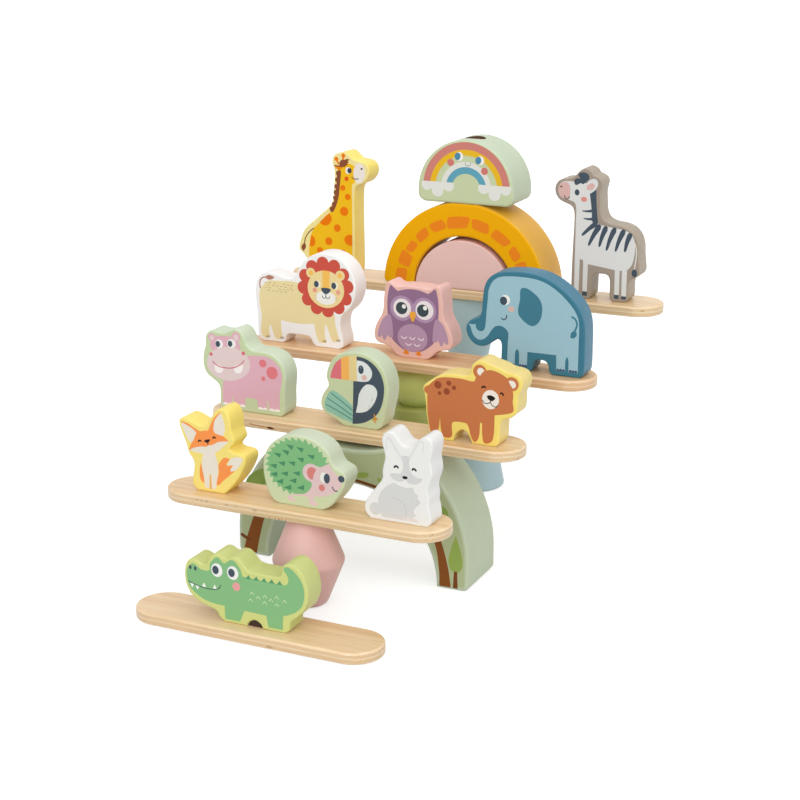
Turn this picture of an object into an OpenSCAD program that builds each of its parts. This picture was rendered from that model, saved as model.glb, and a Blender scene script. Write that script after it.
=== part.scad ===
// Animal stacking game: five plywood boards in a stepped stand, each on its own
// stack of painted blocks, with twelve flat animals and three half-round toppers.
// X runs along the boards, Y from the front row to the back row, Z up.

/* [Boards] */
// Width of every board, front to back
board_w = 40; // [34:1:60]
// Thickness of the plywood
board_t = 8; // [4:0.5:14]
// Length of the board in row 1
board_1_len = 180; // [140:1:240]
// Length of the board in row 2
board_2_len = 210; // [200:1:260]
// Length of the board in row 3
board_3_len = 241; // [230:1:280]
// Length of the board in row 4
board_4_len = 276; // [270:1:300]
// Length of the board in row 5, the longest
board_5_len = 311; // [300:1:360]

/* [Rows] */
// Distance from row 1 back to row 5
rows_depth = 320.5; // [290:0.5:380]
// Rise from row to row above row 2, which all the blocks are made to
rise = 32; // [28:0.5:40]
// Share of the depth at which row 2 stands
row_2_share = 0.181; // [0.17:0.001:0.22]
// Share of the depth at which row 3 stands
row_3_share = 0.435; // [0.4:0.001:0.46]
// Share of the depth at which row 4 stands
row_4_share = 0.6755; // [0.64:0.0005:0.7]
// Sideways place of row 1
row_1_x = -15; // [-20:0.5:20]
// Sideways place of row 2
row_2_x = -9; // [-20:0.5:20]
// Sideways place of row 3
row_3_x = -5; // [-20:0.5:20]
// Sideways place of row 4
row_4_x = 1; // [-10:0.5:10]

/* [Double cones] */
// Radius of its flat ends
bicone_end_r = 14; // [10:0.5:18]
// Radius at its waist
bicone_waist_r = 24.5; // [19:0.5:26]
// Radius on its waist and on the rims of its ends
bicone_rim_r = 5.5; // [1:0.5:7]
// Sideways place of the double cone under its board
bicone_x = 1.3; // [-10:0.1:10]
// Radius at the waist of the short double cone in row 5
short_waist_r = 19.5; // [16:0.5:24]

/* [Green blocks] */
// Radius of the green cylinder
green_cylinder_r = 20; // [16:0.5:24]
// Radius of the flats of the green ball
green_flat_r = 12; // [8:0.5:15]
// Sideways place of the green stack under its board
green_x = -5.5; // [-12:0.5:12]
// Distance of the green stack behind the middle of its board
green_back = 10.5; // [0:0.5:14]

/* [Blue cones] */
// Radius of its wide end
cone_wide_r = 25.5; // [18:0.5:28]
// Radius of its narrow end
cone_narrow_r = 14; // [10:0.5:17]
// Sideways place of the row 5 tower under its board
tower_x = -0.2; // [-12:0.1:12]
// Sideways step from each block of the tower to the next
tower_lean = -2.5; // [-4:0.5:4]
// Distance of the row 5 tower behind the middle of its board
tower_back = 10; // [0:0.5:14]

/* [Turned edges] */
// Radius on the rims of the turned blocks
rim_r = 2.5; // [0.5:0.1:4]

/* [Tree bridge] */
// Width of the bridge over its legs
bridge_w = 181.5; // [164:0.5:196]
// Radius of its opening
bridge_open_r = 66.5; // [50:0.5:72]
// Sideways place of the bridge under its board
bridge_x = -1.5; // [-10:0.5:10]
// Depth of the bridge, front to back
bridge_d = 48; // [36:1:58]
// Distance of the bridge behind the middle of its board
bridge_back = 2.7; // [0:0.1:6]
// Width of its level top
bridge_top_w = 94; // [76:1:116]
// Depth of the hollow saddle in its top
saddle_depth = 4.5; // [1:0.1:8]
// Radius of the saddle
saddle_r = 90; // [40:1:120]
// Radius on the outer corners of the feet
bridge_foot_r = 5; // [1:0.5:8]

/* [Stone arch] */
// Outer radius of the arch
arch_r = 67.8; // [56:0.1:72]
// Inner radius of the arch
arch_open_r = 41.5; // [30:0.5:48]
// Depth of the arch, front to back
arch_d = 40; // [24:1:50]
// Radius on the outer corners of its feet
arch_foot_r = 4; // [1:0.5:8]
// Depth of the flat seat on its crown
crown_flat = 0.8; // [0.1:0.1:2]
// Gap between the arch and the half round inside it
nest_gap = 1.7; // [0.5:0.1:6]
// Share of that gap by which the half round sits off centre
nest_shift = -0.47; // [-0.8:0.01:0.8]
// How far the middle of the half round's curve lies below its flat side
half_round_sunk = 1.3; // [0.2:0.1:4]
// Radius on the corners of the half round
half_round_foot_r = 1.5; // [0.5:0.1:4]

/* [Rainbow dome] */
// Half width of the dome
dome_r = 39.4; // [30:0.1:46]
// Height of its upright skirt
dome_skirt = 9.1; // [8:0.1:16]
// Radius on its lower corners
dome_corner_r = 7; // [2:0.5:8]
// Depth of the dome, front to back
dome_d = 40; // [30:1:50]
// Sideways place of the dome on the arch
dome_x = 1; // [-6:0.5:6]
// Radius of the hole in its top
hole_r = 8; // [4:0.5:12]
// Depth of the hole below the crown
hole_depth = 18; // [8:0.5:28]

/* [Animals] */
// Thickness of every animal
animal_t = 19; // [10:0.5:24]
// Height of the crocodile
crocodile_h = 48.2; // [36:0.1:60]
// Height of the fox
fox_h = 60.3; // [45:0.1:72]
// Height of the hedgehog
hedgehog_h = 49.3; // [38:0.1:58]
// Height of the rabbit
rabbit_h = 61; // [46:0.1:72]
// Height of the hippo
hippo_h = 60.5; // [46:0.1:70]
// Height of the toucan
toucan_h = 54.1; // [42:0.1:64]
// Height of the bear
bear_h = 59.2; // [46:0.1:66]
// Height of the lion
lion_h = 72; // [56:0.1:80]
// Height of the owl
owl_h = 55.6; // [42:0.1:64]
// Height of the elephant
elephant_h = 72; // [54:0.1:78]
// Height of the giraffe
giraffe_h = 98.8; // [76:0.1:110]
// Height of the zebra
zebra_h = 98.9; // [76:0.1:110]

/* [Places on the boards] */
// Place of the crocodile along its board
crocodile_x = 4.5; // [-20:0.5:20]
// Place of the hedgehog along its board
hedgehog_x = 8.5; // [0:0.5:14]
// Gap between the fox and the hedgehog
fox_gap = 13.5; // [4:0.5:18]
// Gap between the hedgehog and the rabbit
rabbit_gap = 13.5; // [4:0.5:18]
// Place of the toucan along its board
toucan_x = -0.5; // [-6:0.5:6]
// Gap between the hippo and the toucan
hippo_gap = 28; // [10:0.5:32]
// Gap between the toucan and the bear
bear_gap = 26; // [10:0.5:30]
// Place of the owl along its board
owl_x = 3.5; // [-2:0.5:6]
// Gap between the lion and the owl
lion_gap = 15; // [6:0.5:20]
// Gap between the owl and the elephant
elephant_gap = 10.5; // [4:0.5:14]
// Place of the stone arch along its board
arch_x = 1.5; // [-6:0.5:6]
// Gap between the giraffe and the stone arch
giraffe_gap = 17.2; // [4:0.1:22]
// Gap between the stone arch and the zebra
zebra_gap = 1.8; // [1.5:0.1:14]

/* [Hidden] */
$fn = 96;

// Steps along each stretch of an animal's outline
outline_steps = 3;
// Steps around a rounded rim
rim_steps = 4;
// Steps up the side of the ball
ball_steps = 24;
// How far a cutting shape runs past what it cuts
past = 1;

board_len = [board_1_len, board_2_len, board_3_len, board_4_len, board_5_len];
row_x = [row_1_x, row_2_x, row_3_x, row_4_x, 0];
row_back = [0, rows_depth * row_2_share, rows_depth * row_3_share, rows_depth * row_4_share, rows_depth];

// Every block is a whole number of rises tall
bicone_h = 2 * rise;
short_h = rise;
bridge_h = 3 * rise;
green_cylinder_h = 3 * rise;
cone_h = 2 * rise;
row_z = [0, bicone_h, bridge_h, green_cylinder_h + short_h, 2 * cone_h + short_h];

// The origin lies under the middle of the whole set, on the floor
front_reach = board_w / 2;
back_reach = row_back[4] + max(
    board_w / 2, arch_d / 2, dome_d / 2, animal_t / 2,
    tower_back + cone_wide_r, tower_back + short_waist_r
);
middle_back = (back_reach - front_reach) / 2;
row_y = [for (back = row_back) back - middle_back];

tower_y = row_y[4] + tower_back;
green_y = row_y[3] + green_back;
bridge_curve_r = bridge_w / 2;
bridge_knee = bridge_h - sqrt(pow(bridge_curve_r, 2) - pow(bridge_top_w / 2, 2));
half_round_r = arch_open_r - nest_gap;
dome_top = dome_skirt + dome_r;
stone_arch_h = arch_r - crown_flat;

// Outlines, in millimetres from the middle of the foot line, turned the way they face
CROCODILE = [
    [-24, 0], [-7, 0], [-5.4, 3], [-1.2, 5], [3, 3], [4.6, 0], [21, 0],
    [24, 2.8], [25, 8.2], [29, 12], [34.2, 17], [37.6, 25], [37.6, 34],
    [34.6, 42], [29.6, 47], [24, 48.2], [19.8, 46], [19, 41.5], [17, 38.4],
    [6, 38], [-5, 38.6], [-9, 42.6], [-12.6, 45.8], [-16.6, 46.4], [-20, 45],
    [-22.4, 44.4], [-25, 45.8], [-28.6, 46.6], [-32.6, 44.6], [-35.4, 39.8],
    [-39, 37.4], [-43, 39.2], [-47, 40], [-50.6, 37.8], [-52.6, 32.6],
    [-53, 26], [-51.4, 19.4], [-47, 13.2], [-41, 9.8], [-34, 8], [-29.8, 6.4],
    [-27.6, 2.8]
];
FOX = [
    [-12, 0], [9, 0], [14, 5], [19, 11], [23.5, 18.5], [26, 25], [25.2, 28.8],
    [21.5, 30.2], [16.5, 30.6], [14, 32.4], [15.6, 35], [17.8, 38.2],
    [16.8, 41.8], [15.5, 45.4], [15.3, 50], [14.2, 55.5], [11.6, 59.3],
    [8, 60.3], [4.5, 58.8], [1.6, 55.2], [-1, 50.6], [-3.6, 47.4], [-7, 46.3],
    [-11.4, 47.2], [-16.4, 49.3], [-21, 50.4], [-24, 49.4], [-25, 46.8],
    [-24, 42.5], [-21.8, 37], [-19.8, 32], [-18.8, 28], [-17.6, 25],
    [-15.2, 22], [-14.2, 18.5], [-14.8, 13], [-15.9, 7], [-15.3, 2.6]
];
HEDGEHOG = [
    [-24, 0], [8, 0], [13, 2.3], [17.5, 7], [21.5, 12.5], [24.5, 18],
    [26, 23.5], [25, 27.5], [22, 29.2], [18.5, 30.8], [16, 34], [14, 39],
    [10, 43.5], [5, 46.5], [-1.5, 48.5], [-8.5, 49.3], [-15.5, 48.7],
    [-22, 46.3], [-28, 42.2], [-32.5, 36.5], [-35, 29.5], [-35.5, 22],
    [-34.3, 14.5], [-31.5, 6.5], [-28.5, 2.2]
];
RABBIT = [
    [-21.5, 0], [19, 0], [21.3, 3], [21, 9], [19.8, 14.5], [20.2, 19],
    [19.2, 24], [20.3, 29.5], [22, 35], [21.8, 40], [20.9, 44.5], [21.8, 50],
    [22.3, 55], [20.8, 59], [17.3, 60.6], [13.8, 59], [10.6, 55.8],
    [7.5, 53.2], [4.2, 52.2], [1, 53.4], [-2, 57], [-5, 60.2], [-8.5, 61],
    [-11.8, 59.2], [-13.3, 55.5], [-12.8, 51.5], [-11.4, 46.5], [-11.1, 42.5],
    [-12.3, 37.5], [-13, 33.5], [-12.7, 29.8], [-14.6, 26], [-18.5, 20.8],
    [-23, 14.5], [-25.6, 9.5], [-25.3, 4.5]
];
HIPPO = [
    [-23.5, 0], [24, 0], [26.6, 2.5], [27.2, 9], [27.2, 16], [27.8, 23],
    [28.2, 30], [26.5, 36.5], [22.8, 41.5], [17, 44.9], [10, 46.2],
    [3.5, 46.2], [-0.5, 47.5], [-3.3, 50.8], [-5, 55], [-8, 59], [-12, 60.5],
    [-16.5, 59], [-20.5, 57.2], [-26, 56.8], [-31.5, 57.6], [-35.3, 55.5],
    [-37, 51], [-36.9, 46.5], [-38.2, 42.5], [-39.3, 36.5], [-38.8, 30],
    [-36.3, 25], [-31.5, 21.5], [-27.5, 18.8], [-25.8, 15], [-25.9, 8],
    [-25.6, 2.4]
];
TOUCAN = [
    [-10.5, 0], [14, 0], [17.5, 2], [19.6, 7], [21, 14], [22.8, 22],
    [23.5, 29.5], [22.6, 36.5], [20, 43], [15.5, 48.5], [9.5, 52.2],
    [3, 54], [-4, 54.1], [-11, 52.7], [-17, 49.8], [-21.3, 45], [-23.8, 39],
    [-24.3, 33.5], [-23.1, 30], [-23.3, 27.2], [-26, 23.5], [-28.5, 18.5],
    [-29, 13.5], [-27.2, 9.2], [-23.5, 6.3], [-18.5, 4.5], [-14.5, 2]
];
BEAR = [
    [-31, 0], [-17.5, 0], [-16.4, 3.8], [-14, 7.3], [-10.8, 8.8], [-7.6, 7.3],
    [-5.3, 3.6], [-3.5, 0], [13, 0], [15.6, 2.3], [16.3, 9], [16.7, 16],
    [18.8, 20], [24, 21.7], [28, 25.5], [28.9, 32], [29, 37.5], [31.3, 41.5],
    [32.2, 46.5], [30, 51], [25.5, 52.8], [20.5, 53.4], [14.5, 55.8],
    [8.5, 57.2], [5.3, 58.7], [1.5, 59.2], [-2.6, 57.5], [-5, 53.8],
    [-5.5, 50], [-8, 47.6], [-15, 47.4], [-23, 47], [-29, 45], [-34, 41.3],
    [-38.5, 38.3], [-40.3, 35.3], [-39.3, 31.5], [-38.4, 26], [-37.8, 18],
    [-36.4, 10], [-34.3, 3]
];
LION = concat(
    [
        [-43, 0], [-26, 0], [-24.2, 2.2], [-23.4, 5], [-21, 7.3],
        [-13, 7.7], [-5.4, 7.4], [-2.4, 5.7], [-0.9, 2.6], [2, 0], [21, 0],
        [24.3, 2], [24.7, 7], [23.2, 13], [22.4, 19]
    ],
    arc([10.5, 47], 25, -56, 166, 15),
    [
        [-18, 50.6], [-24, 50.8], [-29, 52.2], [-33.5, 53.3], [-38, 53.6],
        [-43, 52], [-46.8, 48.2], [-48.8, 42], [-49.2, 35], [-48.7, 28],
        [-47.7, 21], [-47.7, 13], [-47.4, 6], [-45.8, 1.8]
    ]
);
OWL_MIDDLE = -3;
OWL_HALF = [
    [10, 0], [13.5, 1.6], [16.5, 4.5], [19.5, 7], [23.5, 8.3], [27.5, 9],
    [30.3, 11.3], [31.3, 15.5], [30.5, 20.5], [28.3, 25.5], [25.5, 30.3],
    [24, 35], [23.6, 41], [23, 47.5], [22, 53], [20, 55.6], [17.2, 55],
    [14.6, 53.2], [11.5, 52.9], [6, 53.5]
];
OWL = concat(
    [for (p = OWL_HALF) [OWL_MIDDLE + p.x, p.y]],
    [for (i = [len(OWL_HALF) - 1 : -1 : 0]) [OWL_MIDDLE - OWL_HALF[i].x, OWL_HALF[i].y]]
);
ELEPHANT = [
    [-22.5, 0], [-3, 0], [-0.6, 2.5], [0.1, 6.5], [2.6, 9.4], [6, 10],
    [9.6, 9.3], [11.7, 6.5], [12.4, 2.6], [14.5, 0], [34.5, 0], [37.6, 2.5],
    [38.4, 8], [38.4, 20], [38.2, 34], [37, 42], [34, 49], [28.5, 56],
    [21.5, 62], [13, 67.2], [4, 70.6], [-6, 72], [-16, 71.8], [-25, 70.6],
    [-31.5, 68], [-36, 63.2], [-38.2, 56.5], [-39, 48.5], [-39.4, 42],
    [-40.9, 37.2], [-44, 35.3], [-48, 33.6], [-50.9, 30], [-51.2, 25.5],
    [-49, 20.3], [-45, 16.5], [-40.5, 15.2], [-36, 15.9], [-31.8, 18.3],
    [-28.8, 20.9], [-26.3, 21.6], [-24.4, 19.8], [-23.9, 16], [-24, 9],
    [-23.8, 2.5]
];
GIRAFFE = [
    [-28, 0], [-13.5, 0], [-12, 3], [-11.2, 8], [-8.2, 11.4], [-4.2, 11.4],
    [-1.2, 8], [-0.4, 3], [1, 0], [11.5, 0], [13.8, 3], [14, 15], [13.8, 35],
    [13.6, 55], [14, 68], [16, 72.5], [21, 74.5], [25, 78.3], [27, 83.3],
    [26.3, 88], [23, 91.3], [18, 92.4], [13.6, 93.2], [10.3, 96], [7, 98.6],
    [3.5, 98.8], [0, 97.8], [-3.5, 96.3], [-5.7, 92.5], [-5.3, 88],
    [-4, 83.5], [-4, 77], [-4.8, 68], [-5.4, 61.5], [-7, 56.8], [-11, 52.3],
    [-17, 47.3], [-23, 41.8], [-28.5, 37.5], [-32.3, 33], [-34.8, 27],
    [-36.8, 20.5], [-36.2, 17], [-33, 14.2], [-30.4, 11], [-29.8, 6],
    [-29.2, 2]
];
ZEBRA = [
    [-21, 0], [-9.5, 0], [-7.6, 2.5], [-7.2, 9], [-6.9, 16.5], [-4.5, 19.8],
    [0, 20.4], [4.5, 20], [6.9, 17], [7.3, 10], [7.5, 2.5], [9.5, 0],
    [19.2, 0], [21.6, 2.5], [21.9, 9], [22.2, 15.5], [24.5, 18.5],
    [28.3, 20.3], [30.2, 23.5], [29.8, 29], [29, 36], [28.6, 43],
    [26.3, 50], [21.5, 55.2], [14.5, 57.8], [6.5, 58.8], [1.2, 61.5],
    [-1.2, 66.5], [-2, 74], [-2.3, 81.5], [-1.4, 85.5], [-1, 88.5],
    [-2.2, 91.3], [-4.9, 93.1], [-7.8, 94.3], [-9.6, 96.6], [-12, 98.2],
    [-15, 98.9], [-18.3, 97.2], [-21, 94.4], [-23.8, 91.7], [-27.5, 90.5],
    [-32, 90], [-35.7, 87.9], [-37.9, 83.5], [-37.3, 78.3],
    [-34.2, 74.2], [-29.5, 72], [-25, 70.2], [-22.7, 66.8], [-22.2, 60],
    [-22.6, 45], [-23, 30], [-23.2, 15], [-22.8, 2.5]
];

// Places of the animals beside their neighbours, along the boards
fox_x = hedgehog_x - reach_left(HEDGEHOG, hedgehog_h) - fox_gap - reach_right(FOX, fox_h);
rabbit_x = hedgehog_x + reach_right(HEDGEHOG, hedgehog_h) + rabbit_gap + reach_left(RABBIT, rabbit_h);
hippo_x = toucan_x - reach_left(TOUCAN, toucan_h) - hippo_gap - reach_right(HIPPO, hippo_h);
bear_x = toucan_x + reach_right(TOUCAN, toucan_h) + bear_gap + reach_left(BEAR, bear_h);
lion_x = owl_x - reach_left(OWL, owl_h) - lion_gap - reach_right(LION, lion_h);
elephant_x = owl_x + reach_right(OWL, owl_h) + elephant_gap + reach_left(ELEPHANT, elephant_h);
giraffe_x = arch_x - arch_r - giraffe_gap - reach_right(GIRAFFE, giraffe_h);
zebra_x = arch_x + arch_r + zebra_gap + reach_left(ZEBRA, zebra_h);

// Points along a circular arc
function arc(centre, r, from, to, steps) = [
    for (k = [0 : steps])
        let (a = from + (to - from) * k / steps)
        centre + r * [cos(a), sin(a)]
];

function unit(v) = v / norm(v);

// Direction of a closed outline at point i, by the two stretches that meet there
function run_at(p, i) =
    let (
        n = len(p),
        before = p[(i + n - 1) % n],
        after = p[(i + 1) % n]
    )
    (after - before) / (norm(after - p[i]) + norm(p[i] - before));

// Foot points are corners, so a stretch leaves or meets them straight
function leaving(p, i) = p[i].y == 0 ? unit(p[(i + 1) % len(p)] - p[i]) : run_at(p, i);
function meeting(p, i) = p[i].y == 0 ? unit(p[i] - p[(i + len(p) - 1) % len(p)]) : run_at(p, i);

// One point of the curve from a to b, with its directions at both ends
function curve_point(a, b, go, come, t) =
    (2 * t * t * t - 3 * t * t + 1) * a
    + (t * t * t - 2 * t * t + t) * go
    + (3 * t * t - 2 * t * t * t) * b
    + (t * t * t - t * t) * come;

// Closed smooth outline through the points, with straight foot lines
function smooth(p) = [
    for (i = [0 : len(p) - 1])
        let (
            j = (i + 1) % len(p),
            a = p[i],
            b = p[j],
            d = norm(b - a),
            steps = a.y == 0 && b.y == 0 ? 1 : outline_steps
        )
        for (k = [0 : steps - 1])
            curve_point(a, b, leaving(p, i) * d, meeting(p, j) * d, k / steps)
];

function tallest(p) = max([for (q = p) q.y]);

// Smooth outline at its own height, and how far it reaches to each side
function sized(p, height) = smooth(p * (height / tallest(p)));
function reach_left(p, height) = -min([for (q = sized(p, height)) q.x]);
function reach_right(p, height) = max([for (q = sized(p, height)) q.x]);

// Rounded corner of a turned profile, as points around its centre
function rim(centre, r, from, to) = arc(centre, r, from, to, rim_steps);

// Plate with round ends
module round_ended(length, width) {
    square([length - width, width], center = true);
    for (side = [-1, 1])
        translate([side * (length - width) / 2, 0]) circle(d = width);
}

// A flat shape drawn in X and Z, given a thickness that is centred on Y
module upright(thickness) {
    translate([0, thickness / 2, 0])
        rotate([90, 0, 0])
            linear_extrude(thickness)
                children();
}

// Half disc on its flat side, with rounded lower corners and its middle sunk below the side
module half_disc(r, foot_r, sunk) {
    foot_x = sqrt(pow(r - foot_r, 2) - pow(foot_r + sunk, 2));
    foot_top = (foot_r + sunk) * r / (r - foot_r) - sunk;
    difference() {
        translate([0, -sunk]) circle(r);
        translate([-r - past, -r - sunk - past]) square([2 * (r + past), r + sunk + past]);
        for (side = [-1, 1])
            translate([side > 0 ? foot_x : -foot_x - r, -past]) square([r, foot_top + past]);
    }
    for (side = [-1, 1])
        translate([side * foot_x, foot_r]) circle(foot_r);
}

// Board of one row, resting at its row's height
module board(row) {
    color("burlywood")
        translate([row_x[row], row_y[row], row_z[row]])
            linear_extrude(board_t)
                round_ended(board_len[row], board_w);
}

// Animal cut from a flat board, standing on its row
module animal(points, height, place, row, paint) {
    color(paint)
        translate([row_x[row] + place, row_y[row], row_z[row] + board_t])
            upright(animal_t)
                polygon(sized(points, height));
}

// Turned block with a waist half way up, wider or narrower than its ends
module waisted(height, end_r, waist_r, soft_r) {
    lean = atan2(waist_r - end_r, height / 2 - soft_r);
    low = rim([end_r - soft_r, soft_r], soft_r, -90, -lean);
    high = rim([end_r - soft_r, height - soft_r], soft_r, lean, 90);
    waist = waist_r > end_r
        ? rim([waist_r - soft_r, height / 2], soft_r, -lean, lean)
        : [[waist_r, height / 2]];
    rotate_extrude()
        polygon(concat([[0, 0]], low, waist, high, [[0, height]]));
}

// Ball with a flat at its top and bottom
module ball_block(height, flat_r) {
    ball_r = sqrt(pow(flat_r, 2) + pow(height / 2, 2));
    reach = atan2(height / 2, flat_r);
    side = arc([0, height / 2], ball_r, -reach, reach, ball_steps);
    rotate_extrude()
        polygon(concat([[0, 0]], side, [[0, height]]));
}

// Truncated cone, wide end down, or a cylinder
module cone_block(height, wide_r, narrow_r) {
    lean = atan2(wide_r - narrow_r, height - 2 * rim_r);
    low = rim([wide_r - rim_r, rim_r], rim_r, -90, lean);
    high = rim([narrow_r - rim_r, height - rim_r], rim_r, lean, 90);
    rotate_extrude()
        polygon(concat([[0, 0]], low, high, [[0, height]]));
}

module board_row_1() { board(0); }
module board_row_2() { board(1); }
module board_row_3() { board(2); }
module board_row_4() { board(3); }
module board_row_5() { board(4); }

module pink_double_cone_row_2() {
    color("rosybrown")
        translate([row_x[1] + bicone_x, row_y[1], 0])
            waisted(bicone_h, bicone_end_r, bicone_waist_r, bicone_rim_r);
}

module tree_bridge() {
    color("darkseagreen")
        translate([row_x[2] + bridge_x, row_y[2] + bridge_back, 0])
            upright(bridge_d)
                difference() {
                    bridge_outline();
                    circle(bridge_open_r);
                    translate([0, bridge_h - saddle_depth + saddle_r]) circle(saddle_r);
                }
}

// Outside of the bridge: upright feet, round shoulders and a level top
module bridge_outline() {
    flat_w = bridge_w - 2 * bridge_foot_r;
    intersection() {
        union() {
            translate([0, bridge_knee]) circle(bridge_curve_r);
            translate([-bridge_w / 2, bridge_foot_r])
                square([bridge_w, bridge_knee - bridge_foot_r]);
            translate([-flat_w / 2, 0]) square([flat_w, bridge_knee]);
            for (side = [-1, 1])
                translate([side * flat_w / 2, bridge_foot_r]) circle(bridge_foot_r);
        }
        difference() {
            translate([-bridge_w, 0]) square([2 * bridge_w, bridge_h]);
            bridge_below_knee();
        }
    }
}

// What the round shoulders would fill below the knee, outside the upright feet
module bridge_below_knee() {
    for (side = [-1, 1])
        translate([side * (bridge_w / 2 - bridge_foot_r), bridge_foot_r])
            difference() {
                translate([side > 0 ? 0 : -2 * bridge_foot_r, -2 * bridge_foot_r])
                    square(2 * bridge_foot_r);
                circle(bridge_foot_r);
            }
}

module green_cylinder() {
    color("olivedrab")
        translate([row_x[3] + green_x, green_y, 0])
            cone_block(green_cylinder_h, green_cylinder_r, green_cylinder_r);
}

module green_ball() {
    color("olivedrab")
        translate([row_x[3] + green_x, green_y, green_cylinder_h])
            ball_block(short_h, green_flat_r);
}

module blue_cone_lower() {
    color("lightblue")
        translate([row_x[4] + tower_x, tower_y, 0])
            cone_block(cone_h, cone_wide_r, cone_narrow_r);
}

module pink_double_cone_row_5() {
    color("rosybrown")
        translate([row_x[4] + tower_x + tower_lean, tower_y, cone_h])
            waisted(short_h, bicone_end_r, short_waist_r, bicone_rim_r);
}

module blue_cone_upper() {
    color("lightblue")
        translate([row_x[4] + tower_x + 2 * tower_lean, tower_y, row_z[4]])
            rotate([180, 0, 0])
                cone_block(cone_h, cone_wide_r, cone_narrow_r);
}

module stone_arch() {
    color("goldenrod")
        translate([row_x[4] + arch_x, row_y[4], row_z[4] + board_t])
            upright(arch_d)
                difference() {
                    half_disc(arch_r, arch_foot_r, 0);
                    circle(arch_open_r);
                    translate([-arch_r, stone_arch_h]) square([2 * arch_r, crown_flat + past]);
                }
}

module pink_half_round() {
    color("pink")
        translate([row_x[4] + arch_x + nest_gap * nest_shift, row_y[4], row_z[4] + board_t])
            upright(arch_d)
                half_disc(half_round_r, half_round_foot_r, half_round_sunk);
}

module rainbow_dome() {
    color("palegreen")
        translate([row_x[4] + arch_x + dome_x, row_y[4], row_z[4] + board_t + stone_arch_h])
            difference() {
                upright(dome_d) dome_outline();
                translate([0, 0, dome_top - hole_depth]) cylinder(r = hole_r, h = hole_depth + past);
            }
}

// Half disc on a short upright skirt with rounded lower corners
module dome_outline() {
    flat_half = dome_r - dome_corner_r;
    intersection() {
        translate([0, dome_skirt]) circle(dome_r);
        translate([-dome_r, dome_skirt]) square([2 * dome_r, dome_r]);
    }
    translate([-dome_r, dome_corner_r]) square([2 * dome_r, dome_skirt - dome_corner_r]);
    translate([-flat_half, 0]) square([2 * flat_half, dome_skirt]);
    for (side = [-1, 1])
        translate([side * flat_half, dome_corner_r]) circle(dome_corner_r);
}

module crocodile() { animal(CROCODILE, crocodile_h, crocodile_x, 0, "yellowgreen"); }
module fox() { animal(FOX, fox_h, fox_x, 1, "khaki"); }
module hedgehog() { animal(HEDGEHOG, hedgehog_h, hedgehog_x, 1, "darkseagreen"); }
module rabbit() { animal(RABBIT, rabbit_h, rabbit_x, 1, "whitesmoke"); }
module hippo() { animal(HIPPO, hippo_h, hippo_x, 2, "darkseagreen"); }
module toucan() { animal(TOUCAN, toucan_h, toucan_x, 2, "darkseagreen"); }
module bear() { animal(BEAR, bear_h, bear_x, 2, "khaki"); }
module lion() { animal(LION, lion_h, lion_x, 3, "whitesmoke"); }
module owl() { animal(OWL, owl_h, owl_x, 3, "lightpink"); }
module elephant() { animal(ELEPHANT, elephant_h, elephant_x, 3, "steelblue"); }
module giraffe() { animal(GIRAFFE, giraffe_h, giraffe_x, 4, "khaki"); }
module zebra() { animal(ZEBRA, zebra_h, zebra_x, 4, "tan"); }

board_row_1();
board_row_2();
board_row_3();
board_row_4();
board_row_5();
pink_double_cone_row_2();
tree_bridge();
green_cylinder();
green_ball();
blue_cone_lower();
pink_double_cone_row_5();
blue_cone_upper();
stone_arch();
pink_half_round();
rainbow_dome();
crocodile();
fox();
hedgehog();
rabbit();
hippo();
toucan();
bear();
lion();
owl();
elephant();
giraffe();
zebra();
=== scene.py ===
import math

import bmesh
import bpy
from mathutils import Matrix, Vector


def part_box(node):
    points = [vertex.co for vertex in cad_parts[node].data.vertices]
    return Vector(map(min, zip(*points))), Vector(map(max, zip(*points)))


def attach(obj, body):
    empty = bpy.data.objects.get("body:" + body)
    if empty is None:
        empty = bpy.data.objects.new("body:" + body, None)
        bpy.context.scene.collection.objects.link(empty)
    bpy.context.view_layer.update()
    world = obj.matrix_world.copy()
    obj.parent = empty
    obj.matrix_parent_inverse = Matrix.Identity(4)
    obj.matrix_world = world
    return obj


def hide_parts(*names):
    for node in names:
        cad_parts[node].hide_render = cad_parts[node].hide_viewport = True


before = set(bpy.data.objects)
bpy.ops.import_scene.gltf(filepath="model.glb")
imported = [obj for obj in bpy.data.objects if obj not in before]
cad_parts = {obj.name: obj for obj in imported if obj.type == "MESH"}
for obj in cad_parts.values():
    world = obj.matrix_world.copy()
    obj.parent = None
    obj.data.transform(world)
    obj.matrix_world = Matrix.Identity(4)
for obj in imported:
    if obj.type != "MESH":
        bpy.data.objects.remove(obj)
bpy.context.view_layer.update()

MM = 0.001
scene = bpy.context.scene
scene.view_settings.view_transform = "Standard"

# Radii of the soft edges
FINE_EDGE = 1.2 * MM
BOARD_EDGE = 1.6 * MM
BLOCK_EDGE = 2 * MM
CONE_RIM = 2.5 * MM
WAIST_RIM = 5.5 * MM

# Fineness of the meshes
RIM_STEPS = 6
TURNED_RIM_STEPS = 8
TURNED_SIDES = 144
BOARD_END_STEPS = 32
FOOT_STEPS = 8
SADDLE_STEPS = 40
HALF_ROUND_STEPS = 60
ARCH_STEPS = 96
DOME_STEPS = 110
DOME_FOOT_STEPS = 12
HOLE_SIDES = 64
BAND_STEPS = 48
OVAL_POINTS = 28
LINE_STEPS = 6
SHARP = math.radians(38)
MICRONS = 1e6
NOTHING = 1e-9

# Ink, in millimetres: each layer's height, a small step from shape to shape, and how far it sinks in
INK_LAYER = 0.04
INK_STEP = 0.0004
INK_SUNK = 0.05


# Colours

WHITE = (1, 1, 1, 1)


def linear(code):
    """Linear colour of a six-digit sRGB code."""
    values = []
    for k in (1, 3, 5):
        v = int(code[k:k + 2], 16) / 255
        values.append(v / 12.92 if v <= 0.04045 else ((v + 0.055) / 1.055) ** 2.4)
    return values


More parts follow.
